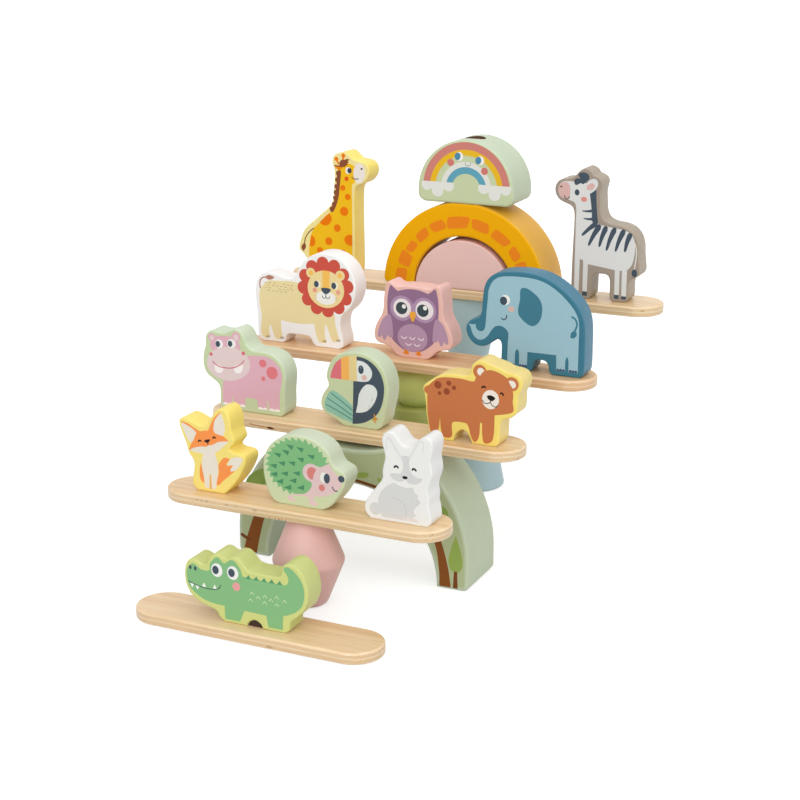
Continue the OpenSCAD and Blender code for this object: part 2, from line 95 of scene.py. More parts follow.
def tone(code, factor):
    """The same colour, lighter or darker, as RGBA."""
    return [min(1.0, v * factor) for v in linear(code)] + [1.0]


# Curves through given points

def spots(text):
    """Points from a text of x,z pairs, where an exclamation mark makes a sharp corner."""
    out = []
    for word in text.split():
        x, z = word.rstrip("!").split(",")
        out.append((float(x), float(z)) + ((0,) if word.endswith("!") else ()))
    return out


def shifted(points, x, side=1):
    """Points moved along X, or mirrored first with side -1."""
    return [(x + side * p[0],) + p[1:] for p in points]


def smooth(points, steps=5, closed=True):
    """Points on a soft curve through the given ones. A third number marks a sharp corner."""
    n = len(points)
    xy = [Vector(p[:2]) for p in points]
    corner = [len(p) > 2 for p in points]

    def run(i):
        before = xy[(i - 1) % n] if closed or i > 0 else xy[i]
        after = xy[(i + 1) % n] if closed or i < n - 1 else xy[i]
        length = (after - xy[i]).length + (xy[i] - before).length
        return (after - before) / max(length, 1e-6)

    out = []
    for i in range(n if closed else n - 1):
        j = (i + 1) % n
        a, b = xy[i], xy[j]
        chord = b - a
        go = chord if corner[i] else run(i) * chord.length
        come = chord if corner[j] else run(j) * chord.length
        count = 1 if corner[i] and corner[j] else steps
        for k in range(count):
            t = k / count
            out.append(
                (2 * t ** 3 - 3 * t * t + 1) * a
                + (t ** 3 - 2 * t * t + t) * go
                + (3 * t * t - 2 * t ** 3) * b
                + (t ** 3 - t * t) * come
            )
    if not closed:
        out.append(xy[-1])
    return out


def area(loop):
    """Signed area of a closed loop, positive when it runs counter-clockwise."""
    total = 0
    for a, b in zip(loop, loop[1:] + loop[:1]):
        total += a[0] * b[1] - b[0] * a[1]
    return total / 2


def arc(x, z, r, start, end, count):
    """Points on a circle from one angle to another, in degrees."""
    out = []
    for k in range(count + 1):
        a = math.radians(start + (end - start) * k / count)
        out.append(Vector((x + r * math.cos(a), z + r * math.sin(a))))
    return out


def inset(loop, depth):
    """A counter-clockwise loop moved inwards by a depth."""
    n = len(loop)
    out = []
    for i in range(n):
        into = (loop[i] - loop[i - 1]).normalized()
        away = (loop[(i + 1) % n] - loop[i]).normalized()
        first = Vector((into.y, -into.x))
        second = Vector((away.y, -away.x))
        mean = (first + second).normalized()
        stretch = 1 / max(0.6, mean.dot(second))
        out.append(loop[i] - mean * depth * stretch)
    return out


# Materials

def new_material(name):
    """A new material, its node tree and its shader."""
    mat = bpy.data.materials.new(name)
    mat.use_nodes = True
    tree = mat.node_tree
    return mat, tree, tree.nodes["Principled BSDF"]


def feed(tree, node, *feeds):
    """Set a node's inputs to plain values, or link them to sockets."""
    for key, value in feeds:
        if isinstance(value, bpy.types.NodeSocket):
            tree.links.new(value, node.inputs[key])
        else:
            node.inputs[key].default_value = value


def add(tree, kind, *feeds, **values):
    """A new node, with its properties set and its inputs fed."""
    node = tree.nodes.new(kind)
    for key, value in values.items():
        setattr(node, key, value)
    feed(tree, node, *feeds)
    return node


def calc(tree, operation, *values):
    """Math node on sockets and numbers."""
    return add(tree, "ShaderNodeMath", *enumerate(values), operation=operation).outputs["Value"]


def mix(tree, blend, factor, first, second):
    """Mix of two colours. Its factor is a number or a socket."""
    feeds = (("Factor", factor), ("A", first), ("B", second))
    return add(tree, "ShaderNodeMix", *feeds, data_type="RGBA", blend_type=blend).outputs["Result"]


def noise(tree, size, stretch, detail):
    """Noise with features of about this size in metres, drawn out along an axis."""
    place = add(tree, "ShaderNodeTexCoord").outputs["Object"]
    scale = [s / size for s in stretch]
    place = add(tree, "ShaderNodeMapping", ("Vector", place), ("Scale", scale)).outputs["Vector"]
    feeds = (("Vector", place), ("Scale", 1), ("Detail", detail))
    return add(tree, "ShaderNodeTexNoise", *feeds).outputs["Fac"]


def ramp(tree, source, *stops):
    """Colour ramp of (position, colour) stops."""
    node = add(tree, "ShaderNodeValToRGB", ("Fac", source))
    marks = node.color_ramp.elements
    while len(marks) < len(stops):
        marks.new(0.5)
    for mark, (position, colour) in zip(marks, stops):
        mark.position = position
        mark.color = colour
    return node.outputs["Color"]


def spread(tree, source, low, high, start=0.3, stop=0.7):
    """A range of the source, by default that of noise, brought to a range of plain numbers."""
    ends = zip(("From Min", "From Max", "To Min", "To Max"), (start, stop, low, high))
    return add(tree, "ShaderNodeMapRange", ("Value", source), *ends).outputs["Result"]


def bump(tree, shader, source, strength, distance):
    """Fine relief on a shader, with its depth in metres."""
    feeds = (("Strength", strength), ("Distance", distance), ("Height", source))
    feed(tree, shader, ("Normal", add(tree, "ShaderNodeBump", *feeds).outputs["Normal"]))


def coat(name, dark, light, tint, fine, rough, relief, gloss=0.5):
    """A material that is dark to light by one noise, with roughness and relief by another."""
    mat, tree, shader = new_material(name)
    colour = ramp(tree, noise(tree, *tint), (0.3, dark), (0.7, light))
    source = noise(tree, *fine)
    feed(tree, shader, ("Base Color", colour), ("Specular IOR Level", gloss))
    feed(tree, shader, ("Roughness", spread(tree, source, *rough)))
    bump(tree, shader, source, *relief)
    return mat


made = {}


def paint(code):
    """Satin paint on wood: soft mottling, and the grain of the wood just showing through."""
    key = "paint_" + code[1:]
    if key not in made:
        patches = (0.035, (1, 1, 1), 4)
        grain = (0.004, (0.08, 1, 1), 5)
        dark, light = tone(code, 0.97), tone(code, 1.02)
        made[key] = coat(key, dark, light, patches, grain, (0.40, 0.52), (0.10, 0.0004), 0.45)
    return made[key]


def ink(code):
    """Printed ink: a thin matt film with a fine fleck."""
    key = "ink_" + code[1:]
    if key not in made:
        fleck = (0.0012, (1, 1, 1), 4)
        dark, light = tone(code, 0.98), tone(code, 1.015)
        made[key] = coat(key, dark, light, fleck, fleck, (0.50, 0.62), (0.05, 0.0002), 0.08)
    return made[key]


def plywood(name, warmth):
    """Lacquered birch: fine grain on the faces, thin plies on the edges. Warmth deepens its colour."""
    mat, tree, shader = new_material(name)
    pair_of_plies = 0.0032
    tint = (1 - 0.06 * warmth, 1 - 0.28 * warmth, 1 - 0.4 * warmth)

    def wood(source, *stops):
        warm = [(at, [v * t for v, t in zip(linear(code), tint)] + [1]) for at, code in stops]
        return ramp(tree, source, *warm)

    def darker(base, factor, source, *stops):
        return mix(tree, "MULTIPLY", factor, base, ramp(tree, source, *stops))

    # Faces: broad figure and fine lines along the board
    figure = noise(tree, 0.011, (0.05, 1, 1), 6)
    veneer = wood(figure, (0.25, "#E0BB88"), (0.45, "#EBCB9E"), (0.6, "#F1D8B1"), (0.8, "#E5C18F"))
    grain = noise(tree, 0.0035, (0.03, 1, 1), 3)
    veneer = darker(veneer, 0.6, grain, (0.36, (0.9, 0.84, 0.74, 1)), (0.56, WHITE))

    # Edges: wavering plies with streaks and specks
    place = add(tree, "ShaderNodeTexCoord").outputs["Object"]
    place = add(tree, "ShaderNodeSeparateXYZ", ("Vector", place))
    waver = spread(tree, noise(tree, 0.02, (0.25, 1, 1), 3), -0.00035, 0.00035)
    height = calc(tree, "ADD", place.outputs["Z"], waver)
    layers = wood(
        calc(tree, "FRACT", calc(tree, "MULTIPLY", height, 1 / pair_of_plies)),
        (0, "#C49D6D"), (0.06, "#E6D0AC"), (0.46, "#E3CBA5"),
        (0.52, "#C9A171"), (0.58, "#DCBE92"), (0.95, "#D9BA8D"),
    )
    streaks = noise(tree, 0.0007, (0.03, 1, 1), 3)
    layers = darker(layers, 0.7, streaks, (0.3, (0.88, 0.83, 0.76, 1)), (0.55, WHITE))
    knots = noise(tree, 0.007, (0.35, 1, 1.4), 2)
    layers = darker(layers, 0.9, knots, (0.70, WHITE), (0.76, (0.55, 0.38, 0.26, 1)))

    # Faces where the surface lies level, edges where it stands, and pores all over
    normal = add(tree, "ShaderNodeNewGeometry").outputs["Normal"]
    facing = add(tree, "ShaderNodeSeparateXYZ", ("Vector", normal))
    level = spread(tree, calc(tree, "ABSOLUTE", facing.outputs["Z"]), 0, 1, 0.4, 0.75)
    colour = mix(tree, "MIX", level, layers, veneer)
    pores = noise(tree, 0.0011, (0.04, 1, 1), 4)
    colour = darker(colour, 0.5, pores, (0.3, (0.84, 0.77, 0.68, 1)), (0.48, WHITE))
    feed(tree, shader, ("Base Color", colour), ("Specular IOR Level", 0.9))
    feed(tree, shader, ("Roughness", spread(tree, figure, 0.3, 0.38)))
    bump(tree, shader, pores, 0.1, 0.0003)
    return mat


def inside_dark_wood(dark, light):
    """Dark brown wood inside a cut, with the tool's rings. In the crocodile's notch this dark brown is
    painted shade.
    """
    rings = (0.003, (0.4, 0.4, 2.5), 4)
    return coat("cut_inside_dark", tone(dark, 1), tone(light, 1), rings, rings, (0.6, 0.8), (0.3, 0.0006))


# Solid pieces

def put(name, data):
    """A new object in the scene."""
    holder = bpy.data.objects.new(name, data)
    scene.collection.objects.link(holder)
    return holder


def closed_mesh(name, bm, materials=()):
    """A mesh of a closed form, its faces turned outwards."""
    bmesh.ops.recalc_face_normals(bm, faces=bm.faces)
    mesh = bpy.data.meshes.new(name)
    bm.to_mesh(mesh)
    bm.free()
    for mat in materials:
        mesh.materials.append(mat)
    return mesh


def place_piece(name, bm, node, materials):
    """A closed form that stands for a node and moves with it."""
    mesh = closed_mesh(name, bm, materials)
    mesh.shade_smooth()
    mesh.set_sharp_from_angle(angle=SHARP)
    piece = put(name, mesh)
    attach(piece, node)
    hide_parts(node)
    return piece


def rounded(loop, low, high, r, upright=True, cap=0, border=None):
    """Prism from low to high with rounded rims. Its loop lies in X and Z, or in X and Y if not upright.
    Its ends take the material cap, which runs on over part of the rim or stops at a border."""
    if area(loop) < 0:
        loop = loop[::-1]
    wrapped = 0 if border else 4
    turns = [math.pi / 2 * k / RIM_STEPS for k in range(RIM_STEPS + 1)]
    bevel = [(r * (1 - math.sin(a)), r * (1 - math.cos(a))) for a in turns]
    flat_rim = 0.35 * MM
    edge = border or r + flat_rim
    bands = [(edge, low)] + [(depth, low + rise) for depth, rise in bevel]
    bands += [(depth, high - rise) for depth, rise in bevel[::-1]] + [(edge, high)]
    bm = bmesh.new()
    rows = []
    for depth, w in bands:
        ring = inset(loop, depth) if depth > NOTHING else loop
        rows.append([bm.verts.new((p.x, w, p.y) if upright else (p.x, p.y, w)) for p in ring])
    n = len(loop)
    last = len(rows) - 2
    for k, (a, b) in enumerate(zip(rows, rows[1:])):
        for i in range(n):
            j = (i + 1) % n
            face = bm.faces.new((a[i], b[i], b[j], a[j]))
            face.material_index = cap if min(k, last - k) < wrapped else 0
    for ring in (rows[0], rows[-1]):
        bm.faces.new(ring).material_index = cap
    return bm


def front_loop(node):
    """Outline of a node's flat front, taken from its own mesh."""
    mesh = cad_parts[node].data
    slack = 1e-5
    front = min(v.co.y for v in mesh.vertices) + slack
    edges = {}
    for face in mesh.polygons:
        corners = [mesh.vertices[k].co for k in face.vertices]
        if max(c.y for c in corners) > front:
            continue
        keys = [(round(c.x * MICRONS), round(c.z * MICRONS)) for c in corners]
        for a, b in zip(keys, keys[1:] + keys[:1]):
            if not edges.pop((b, a), False):
                edges[(a, b)] = True
    follow = dict(edges.keys())
    start = next(iter(follow))
    loop = [start]
    while follow[loop[-1]] != start:
        loop.append(follow[loop[-1]])
    return [Vector((x / MICRONS, z / MICRONS)) for x, z in loop]


def slab(node, loop, r, side, face, border=None):
    """Flat wooden piece standing upright, with its own colour on its sides and its faces."""
    low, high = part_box(node)
    bm = rounded(loop, low.y, high.y, r, True, 1, border)
    return place_piece(node + "_wood", bm, node, [paint(side), ink(face)])


def lathe(node, profile, code):
    """Turned piece: a profile of radius and height, spun about the node's middle."""
    low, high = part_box(node)
    x = (low.x + high.x) / 2
    y = (low.y + high.y) / 2
    fit = (high.x - low.x) / 2 / max(r for r, z in profile)
    profile = [(r * fit, z) for r, z in profile]
    bm = bmesh.new()
    rows = []
    for r, z in profile:
        turns = [2 * math.pi * k / TURNED_SIDES for k in range(TURNED_SIDES if r else 1)]
        ring = [(x + r * math.cos(a), y + r * math.sin(a), low.z + z) for a in turns]
        rows.append([bm.verts.new(p) for p in ring])
    for a, b in zip(rows, rows[1:]):
        for i in range(TURNED_SIDES):
            j = (i + 1) % TURNED_SIDES
            corners = (a[i % len(a)], a[j % len(a)], b[j % len(b)], b[i % len(b)])
            bm.faces.new(dict.fromkeys(corners))
    return place_piece(node + "_wood", bm, node, [paint(code)])


def rim(r, z, round_r, start, end):
    """Rounded rim of a turned profile, in metres."""
    return [(p.x, p.y) for p in arc(r - round_r, z, round_r, start, end, TURNED_RIM_STEPS)]


# Printed artwork

NAVY = "#46525E"
CHALK = "#E9E9E6"


def drawn(points):
    """Lists of points: one for each shape in a text, with slashes between, or the points given."""
    if isinstance(points[0], str):
        return [spots(part) for part in points[0].split("/")]
    return [points]


def stroke(path, width, end):
    """Outline of a stroke along a path, from one width to another, with narrowed tips that reach on."""
    reach_on, narrowed = 0.3, 0.55
    last = len(path) - 1
    one, two = [], []
    for i, p in enumerate(path):
        wide = width + (end - width) * i / last
        run = (path[min(i + 1, last)] - path[max(i - 1, 0)]).normalized()
        across = Vector((-run.y, run.x)) * wide / 2
        tip = run * wide * reach_on * ((i == last) - (i == 0))
        pinch = narrowed if i in (0, last) else 1
        one.append(p + tip + across * pinch)
        two.append(p + tip - across * pinch)
    return one + two[::-1]


class Art:
    """Thin printed shapes on the front and back of a piece, in millimetres. They are drawn from its foot
    and from an upright line, which lies a given way from its left side."""

    def __init__(self, node, left):
        self.node = node
        self.low, self.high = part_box(node)
        self.x = self.low.x + left * MM
        self.layer = 1
        self.shapes = []

    def up(self):
        """The next shapes lie over the ones so far."""
        self.layer += 1

    def add(self, code, loop):
        """One shape of a colour."""
        if area(loop) < 0:
            loop = loop[::-1]
        proud = (INK_LAYER * self.layer + INK_STEP * len(self.shapes)) * MM
        self.shapes.append((code, loop, proud))

    def blob(self, code, *points):
        """Shapes with soft outlines."""
        for loop in drawn(points):
            self.add(code, smooth(loop))

    def poly(self, code, *points):
        """Shapes with straight sides."""
        for loop in drawn(points):
            self.add(code, [Vector(p) for p in loop])

    def oval(self, code, x, z, across, up=None, turn=0):
        """Oval about a middle, turned by degrees."""
        up = across if up is None else up
        c, s = math.cos(math.radians(turn)), math.sin(math.radians(turn))
        loop = []
        for k in range(OVAL_POINTS):
            a = 2 * math.pi * k / OVAL_POINTS
            u, v = across * math.cos(a), up * math.sin(a)
            loop.append(Vector((x + u * c - v * s, z + u * s + v * c)))
        self.add(code, loop)

    def ovals(self, code, places, *size):
        """Ovals at several places, each with its own size in the text or all with the one given."""
        for word in places.split():
            x, z, *own = [float(v) for v in word.split(",")]
            self.oval(code, x, z, *(own or size))

    def line(self, code, width, *points, end=None):
        """Strokes along points, of one width or narrowing to another at their end."""
        for given in drawn(points):
            path = smooth(given, LINE_STEPS, False)
            self.add(code, stroke(path, width, width if end is None else end))

    def stamp(self, draw, places, shape, *look):
        """The same small shape at several places, drawn by one of the calls above."""
        for x, z in spots(places):
            draw(*look, *[(x + p[0], z + p[1]) + p[2:] for p in spots(shape)])

    def make(self):
        """The pieces that carry the print, one on the front and one on the back."""
        for side, face, out in (("front", self.low.y, -1), ("back", self.high.y, 1)):
            mesh = bpy.data.meshes.new(self.node + "_print_" + side)
            verts, faces, marks, codes = [], [], [], []
            for code, loop, proud in self.shapes:
                if code not in codes:
                    codes.append(code)
                    mesh.materials.append(ink(code))
                n = len(loop)
                base = len(verts)
                for depth in (face + out * proud, face - out * INK_SUNK * MM):
                    for p in loop:
                        verts.append((self.x + p.x * MM, depth, self.low.z + p.y * MM))
                shell = [tuple(range(base, base + n)), tuple(range(base + 2 * n - 1, base + n - 1, -1))]
                for i in range(n):
                    j = (i + 1) % n
                    shell.append((base + i, base + n + i, base + n + j, base + j))
                if out > 0:
                    shell = [f[::-1] for f in shell]
                faces += shell
                marks += [codes.index(code)] * len(shell)
            mesh.from_pydata(verts, [], faces)
            mesh.polygons.foreach_set("material_index", marks)
            mesh.update()
            piece = put(mesh.name, mesh)
            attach(piece, self.node)


def printed(node, left, draw):
    """Print a drawing on a piece."""
    art = Art(node, left)
    draw(art)
    art.make()


def crocodile_art(a):
    green, dark = "#84B780", "#52966A"
    a.blob(green, """
        -51,26 -50.5,33 -46,37 -40,33.8 -34,34.3 -33.3,39 -28,44.3 -22.6,40.6! -16.5,44.3 -10.8,39
        -9.3,34.2! 19,33.5 23,34.2 24.2,37.5 23,41 21,43.7 21.6,45.8 25,46 30,42.5 34,37 35.5,30 34,22
        30,17 24,13.5 20,12! 19.3,2.2! 9,2.2! 7.5,10! -8.5,10.5! -12,2.2! -23,2.2! -23.3,11.2! -30,11.5
        -38,13 -45,16.5 -49.5,21
    """)
    a.up()
    a.stamp(a.poly, "-5,33.2 0.8,33.2 6.5,33.2 12,33.2 17.8,33.2", "-2,0 2,0 0.2,2.8", dark)
    a.ovals(NAVY, "-48.3,34 -44.5,33.7", 1, 1.5)
    a.ovals(CHALK, "-28.2,35.3 -16.4,35.3", 4.2, 4.7)
    a.oval("#E39E9C", -14, 26.3, 2.9)
    a.stamp(a.poly, "-38.3,22 -30.2,22", "-1.5,0 1.5,0 0,2.9", "#F2F3EE")
    a.stamp(a.poly, "-47.3,22.8 -43.3,21.9", "-1.5,0 1.5,0 0,-2.9", "#F2F3EE")
    scales = "-2.5,24 7,23.5 15.5,24.3 21.2,22.6 2,21.8 11.3,21.8 -3.7,19.2 6.7,19.2 15.5,19.2"
    a.stamp(a.poly, scales, "-1.8,-1.2 0,0.9 1.8,-1.2 1.3,-1.3 0,0.2 -1.3,-1.3", "#C8DCAE")
    a.up()
    a.line(NAVY, 0.55, "-50,24.2 -44,22.2 -36,21.2 -29,21.8 -26.5,23.5 -25.8,25.5")
    a.ovals(NAVY, "-29.2,35.3 -17.3,35.3", 2.4, 2.9)


def fox_art(a):
    orange, pale = "#F29350", "#E4DCCE"
    a.blob(pale, """
        14,38.4! 11.5,35.8 9,33.5 5,30 2.2,28.4 -5.5,27 -12,27.2 -17.5,28! -12,33 0,36 / -6,28! -7.5,22
        -7.7,17 -6.5,10 -5.6,2.7! 2.8,2.7! 4,10 5,17 4.6,22 2.4,29!
    """)
    a.blob(orange, """
        -8.6,20 -9.8,13 -9.1,8 -6.5,5.6! -6.5,10 -7.6,15 / 5.3,20.5 7.5,24 10,26.3 14.6,26! 11.5,22.2!
        12,20.8 16.6,22! 14.5,18.5! 14.4,17.3 18.2,18.1! 13,13.5 8,9 5,6 3.3,6.2 4,10 5.3,15
    """)
    a.blob(pale, "14.6,26! 19,27.8 24,27.8 22.8,23.5 18.2,18.1! 14.4,17.3 16.6,22! 11.8,21!")
    a.blob(orange, """
        -23.6,47.6 -18,47 -12.5,44.2 -8,42.4! -11.5,40! -15,44 / 8.3,57.8 4,54.7 1.2,50.6 -2.2,43.6!
        3,42! 3,50
    """)
    a.up()
    a.blob(pale, """
        -22.9,46.6 -18,45.4 -13,42.8 -11.3,40.6 -13,36.8 -15.5,33.8 -17.5,34.5 -19.5,38 -21.5,42.5 /
        8.2,57 5.2,54.3 3.2,51 2.3,46.5 2.5,44 5,42.3 8,41.5 10,42.3 11,46 10.8,50 9.6,54.5
    """)
    a.up()
    a.blob(orange, """
        14,38.4! 9,37.7 5,36.6 2.5,35 0,33.8 -2,33.6! -3.5,32.4 -8,31.8 -12,30.8 -15,29.5 -17.6,27.8!
        -15.8,32.5 -13.5,36 -11.5,40.5 -8.5,42.4 -2,43.8 5,42.2 9.5,41.4
    """)
    a.poly("#E3B264", "-2.3,2.4 -0.5,2.4 -0.8,12.8 -1.9,12.8")
    a.up()
    mark = "#35211F"
    a.line(mark, 1.1, "-9.9,35 -9.4,35.8 -8.6,36.1 -7.7,35.7 / 1.5,38.9 2,39.6 2.8,39.9 3.7,39.4")
    a.blob(mark, "-5.4,36 -4.2,37 -2.6,37.6 -0.4,37.7 -1.4,36.2 -2.2,35.2 -3.8,35.2")
    a.line(mark, 0.7, "-2.5,35.6 -2.4,33.9")


def hedgehog_art(a):
    green, dark, pink = "#7DB47C", "#4C8863", "#DABFBF"
    a.blob(pink, """
        6,30 11,32.2 13.6,33.8 15.2,31 17.2,28.4 20.6,25.6 23.2,22.4 22.6,18.4 19,14.4 14,11.4 8,9.5
        3.2,8.7 2.8,5.4! 5.6,4.2 4.6,2.9 0.8,2.6 -1.1,3.8 -1.2,7.8! -6,8.2 -13,7.8 -10,20 -2,28 /
        -17.2,5.2 -16.2,3.6 -13.4,3.2 -10.4,4.2 -12.6,5.2 -13.6,6.8 -16,7
    """)
    a.up()
    x, z, half_wide, half_tall = -9, 27.5, 24.4, 20.6
    tips, first, sweep, behind, notch = 21, 17, 238, 3, 0.885
    spikes = []
    for k in range(tips):
        tip = first + sweep * k / (tips - 1)
        reach = 1.01 + 0.02 * math.sin(2.7 * k)
        for turn, out in ((tip, reach), (tip + behind, notch)):
            t = math.radians(turn)
            spikes.append((x + half_wide * out * math.cos(t), z + half_tall * out * math.sin(t)))
    belly = spots("-12,8.6 -5,9.7 -2,11.6 0.4,14.6 1.2,17.8 -1,20 -3,26 2,31 7.5,30 10.8,31.6")
    a.poly(green, *spikes, *smooth(belly, 5, False))
    a.up()
    spines = """
        -14.5,41.5 -7,40.7 -17.8,37.3 1,36.7 -24,34.5 -6.8,33.6 -13.3,30 -21,28.9 -27.3,26.2
        -10,23.3 -19,21.8 -27.1,20.3 -12.8,17.7 -22.8,15.7 -7.2,13.5 -16.8,12.3
    """
    for x, z in spots(spines):
        lean = (z - 22) / 20
        low = (x + 2.1 - 0.9 * lean, z - 1.8 - 0.8 * lean)
        a.poly(dark, (x - 3, z + lean), low, (x + 2.7, z + 1.9 - 1.3 * lean))
    a.oval(pink, 0.9, 25.2, 6.3)
    a.oval("#E4E2DC", 10, 23.2, 2.6, 3.7, -4)
    a.oval("#D0807A", 8.6, 15.9, 2.3)
    a.oval(NAVY, 23, 24, 2.3)
    a.line("#463F4B", 0.7, "16.3,17.7 17.2,15.9 18.6,15.1 20,15.3")
    a.up()
    a.blob("#D0807A", "4.8,28! 1.5,29.2 -1.2,28 -2.3,25.2 -1.5,22.4 0.6,20.7 2.2,20.8! 2.6,23.6 3.7,26")
    a.oval(NAVY, 12.4, 22.9, 2.2, 3.4, -2)


def rabbit_art(a):
    grey = "#D0D1D0"
    a.blob(grey, """
        -4.3,27.4! -8.9,24.5 -12.8,20.6 -15,16.2 -15.4,11 -13,2.6! 13.8,2.6! 9.4,5.2 11.8,7! 9.8,8.6
        10.8,12.2 12.8,14 14.6,16.2! 12.3,18.8! 13.1,20.6! 10.4,22.4! 9.8,24 9.2,25.8! 3.7,25 -0.8,25.8
    """)
    a.oval(grey, -17.4, 7.5, 4.3)
    a.blob(grey, """
        1.1,45.8 6.8,46.2 6.4,41.4 7.4,36.6 9,34.2 12.9,32.8 16,32.8! 14.2,29.9 10.3,28 6.8,28.1
        4.9,29.1 3.5,30.7! 2,29 -1.9,28.5 -5,29.6 -7.6,32.6! -4.5,33.6 -0.6,33.9 1.7,35.8 2,40.9
    """)
    a.line("#DCDCDA", 2, """
        0.6,45.3 -2.8,49.9 -5.4,53.8 -7.9,57 -9.7,54.4 -9.3,48.6 / 6.6,45.3 9.9,51.1 12.5,56 14.7,57.7
        16.3,56.4 16,49.8
    """, end=0.7)
    a.up()
    a.blob("#DAD4D2", "1.4,2.7! 2.2,4.6 4,5.4 7.7,5.1 11.6,4.2 13.6,2.7!")
    a.line("#C4C6C5", 0.6, "-6.5,16.3 -2,16.8 2.5,14 4.3,9 3.8,5")
    mark = "#1F2326"
    a.line(mark, 1.2, "-4.1,37.6 -3.2,38.6 -2.2,38.6 -1.2,37.7 / 8.6,37.6 9.3,38.5 10.4,38.4 11.3,37.4")
    a.oval(mark, 3.5, 31.8, 1.9, 1.05)


def hippo_art(a):
    body, muzzle, rose = "#DAADBA", "#DDCACA", "#D97A80"
    a.blob(body, """
        -1.5,42.4! 5,43 12,43.3 19,41 24,36 25.8,30 24.6,22 23.5,15 23.4,3.6! 14.8,3.6! 14,10.8!
        13,10.8! 13,3.6! 5.8,3.6! 5,10.8! -4.6,10.8! -5,3.6! -14.4,3.6! -14.7,10.8! -15.3,10.8!
        -15.6,3.6! -23.3,3.6! -23.5,14 -22,24!
    """)
    a.ovals(body, "-31.2,52.8,3,2.9 -11.2,55,3.7,3.6")
    a.blob(body, "-32.5,46 -32,50.5 -29.5,53 -25,54.4 -20,54.9 -14,54.5 -9.5,51.8 -7.8,47 -12,38 -26,36")
    a.up()
    a.oval(muzzle, -18, 34.5, 18, 12.6, 6)
    for x, wide in ((-23.3, 7.7), (-14.4, 9.4), (5.9, 7.1), (14.9, 8.5)):
        toe = [(x + 0.78 * wide, 5.4), (x + 0.5 * wide, 4.6, 0), (x + 0.25 * wide, 5.4)]
        a.blob("#F1ECEA", (x, 3.5, 0), (x + wide, 3.5, 0), (x + wide, 4.6), *toe, (x, 4.6))
    a.ovals(rose, "10.3,38,2.9 17.7,31.8,4.6 10.5,26.7,1.7")
    a.ovals(muzzle, "-31.2,52.4,1.7,2 -11,54.6,2.1,2.3")
    a.ovals(CHALK, "-25.2,48.5,3.3,3.2 -15,49.8,3.6,3.3")
    a.up()
    a.ovals(NAVY, "-26.3,48.3 -16.1,49.6", 1.9, 2.3)
    a.ovals("#D46A7C", "-32.2,40.2,1.3 -5.4,43.6,1.4")
    a.blob("#F0EBE8", """
        -29.2,32.4 -28.6,27.6 -25.6,26.8 -23,28.2 -22.6,31.6 / -13.2,32.6 -12.6,28.8 -9.4,28.4 -6.8,30.4
        -6.2,35.4
    """)
    a.up()
    a.line("#C4667A", 0.7, "-31.3,35 -27,32 -20,31.2 -13,32.3 -7,35.8 -4.8,38.5")


def toucan_art(a):
    teal, lines = "#8FBDA9", "#4B857F"
    a.blob("#D5707A", "-21,33.8! -20.3,38 -17,45 -12.5,49! -12.5,33.8!")
    a.blob("#EBAF5B", "-12.5,33.8! -12.5,49! -9.8,50.4 -6.5,51.3! -6.5,33.8!")
    a.blob("#DEC98D", "-6.5,33.8! -6.5,51.3! -3.5,51.8 -0.5,51.8! -0.5,33.8!")
    a.blob(teal, "-18.6,24.9 -11,21 -4,15.5! -4,3.2! -12,5 -19,7.5 -24.5,9.8 -26,14 -24.6,19 -22,23.4")
    a.blob(NAVY, """
        -0.5,51.7! 5,51 10,49 15,45 18.5,39.5 20.3,33 20.3,27 19,20 16,13 11,8 4,4 -4,2.2! -3.2,33.6!
        -0.5,33.7!
    """)
    a.up()
    for p, q in (((-21, 23), (-4, 12.2)), ((-23.7, 18.8), (-4, 8.4)), ((-25, 14.2), (-4, 5.4))):
        a.line(lines, 0.75, p, ((p[0] + q[0]) / 2, (p[1] + q[1]) / 2 + 0.2), q)
    a.blob("#DBE0DE", """
        -0.5,48.8! 4,48.5 8,46.5 11,42.5 11,38.5 8.5,35 4.5,34 -0.5,33.8! / 9,32.6 12.5,31.8 15,28.5
        14.5,23.5 11.5,17.5 7,13 2,11.3 -1.4,11! 0,17 1,24 3.5,29 6.5,32
    """)
    a.line("#C98A36", 1.1, """
        12.8,11.4 13.2,9.6 13.4,8 / 13.4,8.8 12.6,8.2 11.7,7
        / 13.4,8.4 13.4,7 13.2,5.4 / 13.4,8.8 14.2,8.8 15.2,7.9
    """)
    a.up()
    a.oval(NAVY, 2.8, 42.5, 2.1, 3.1)
    a.oval("#DAB3AC", 5.3, 37, 2)
    a.stamp(a.line, "10.6,22.6 11.6,24.4 8.6,17.6", "0,0 0.3,-1.6 -0.2,-3.2", "#BCC1BF", 0.35)
    a.up()
    a.oval("#79838B", 2.6, 43.9, 0.6)


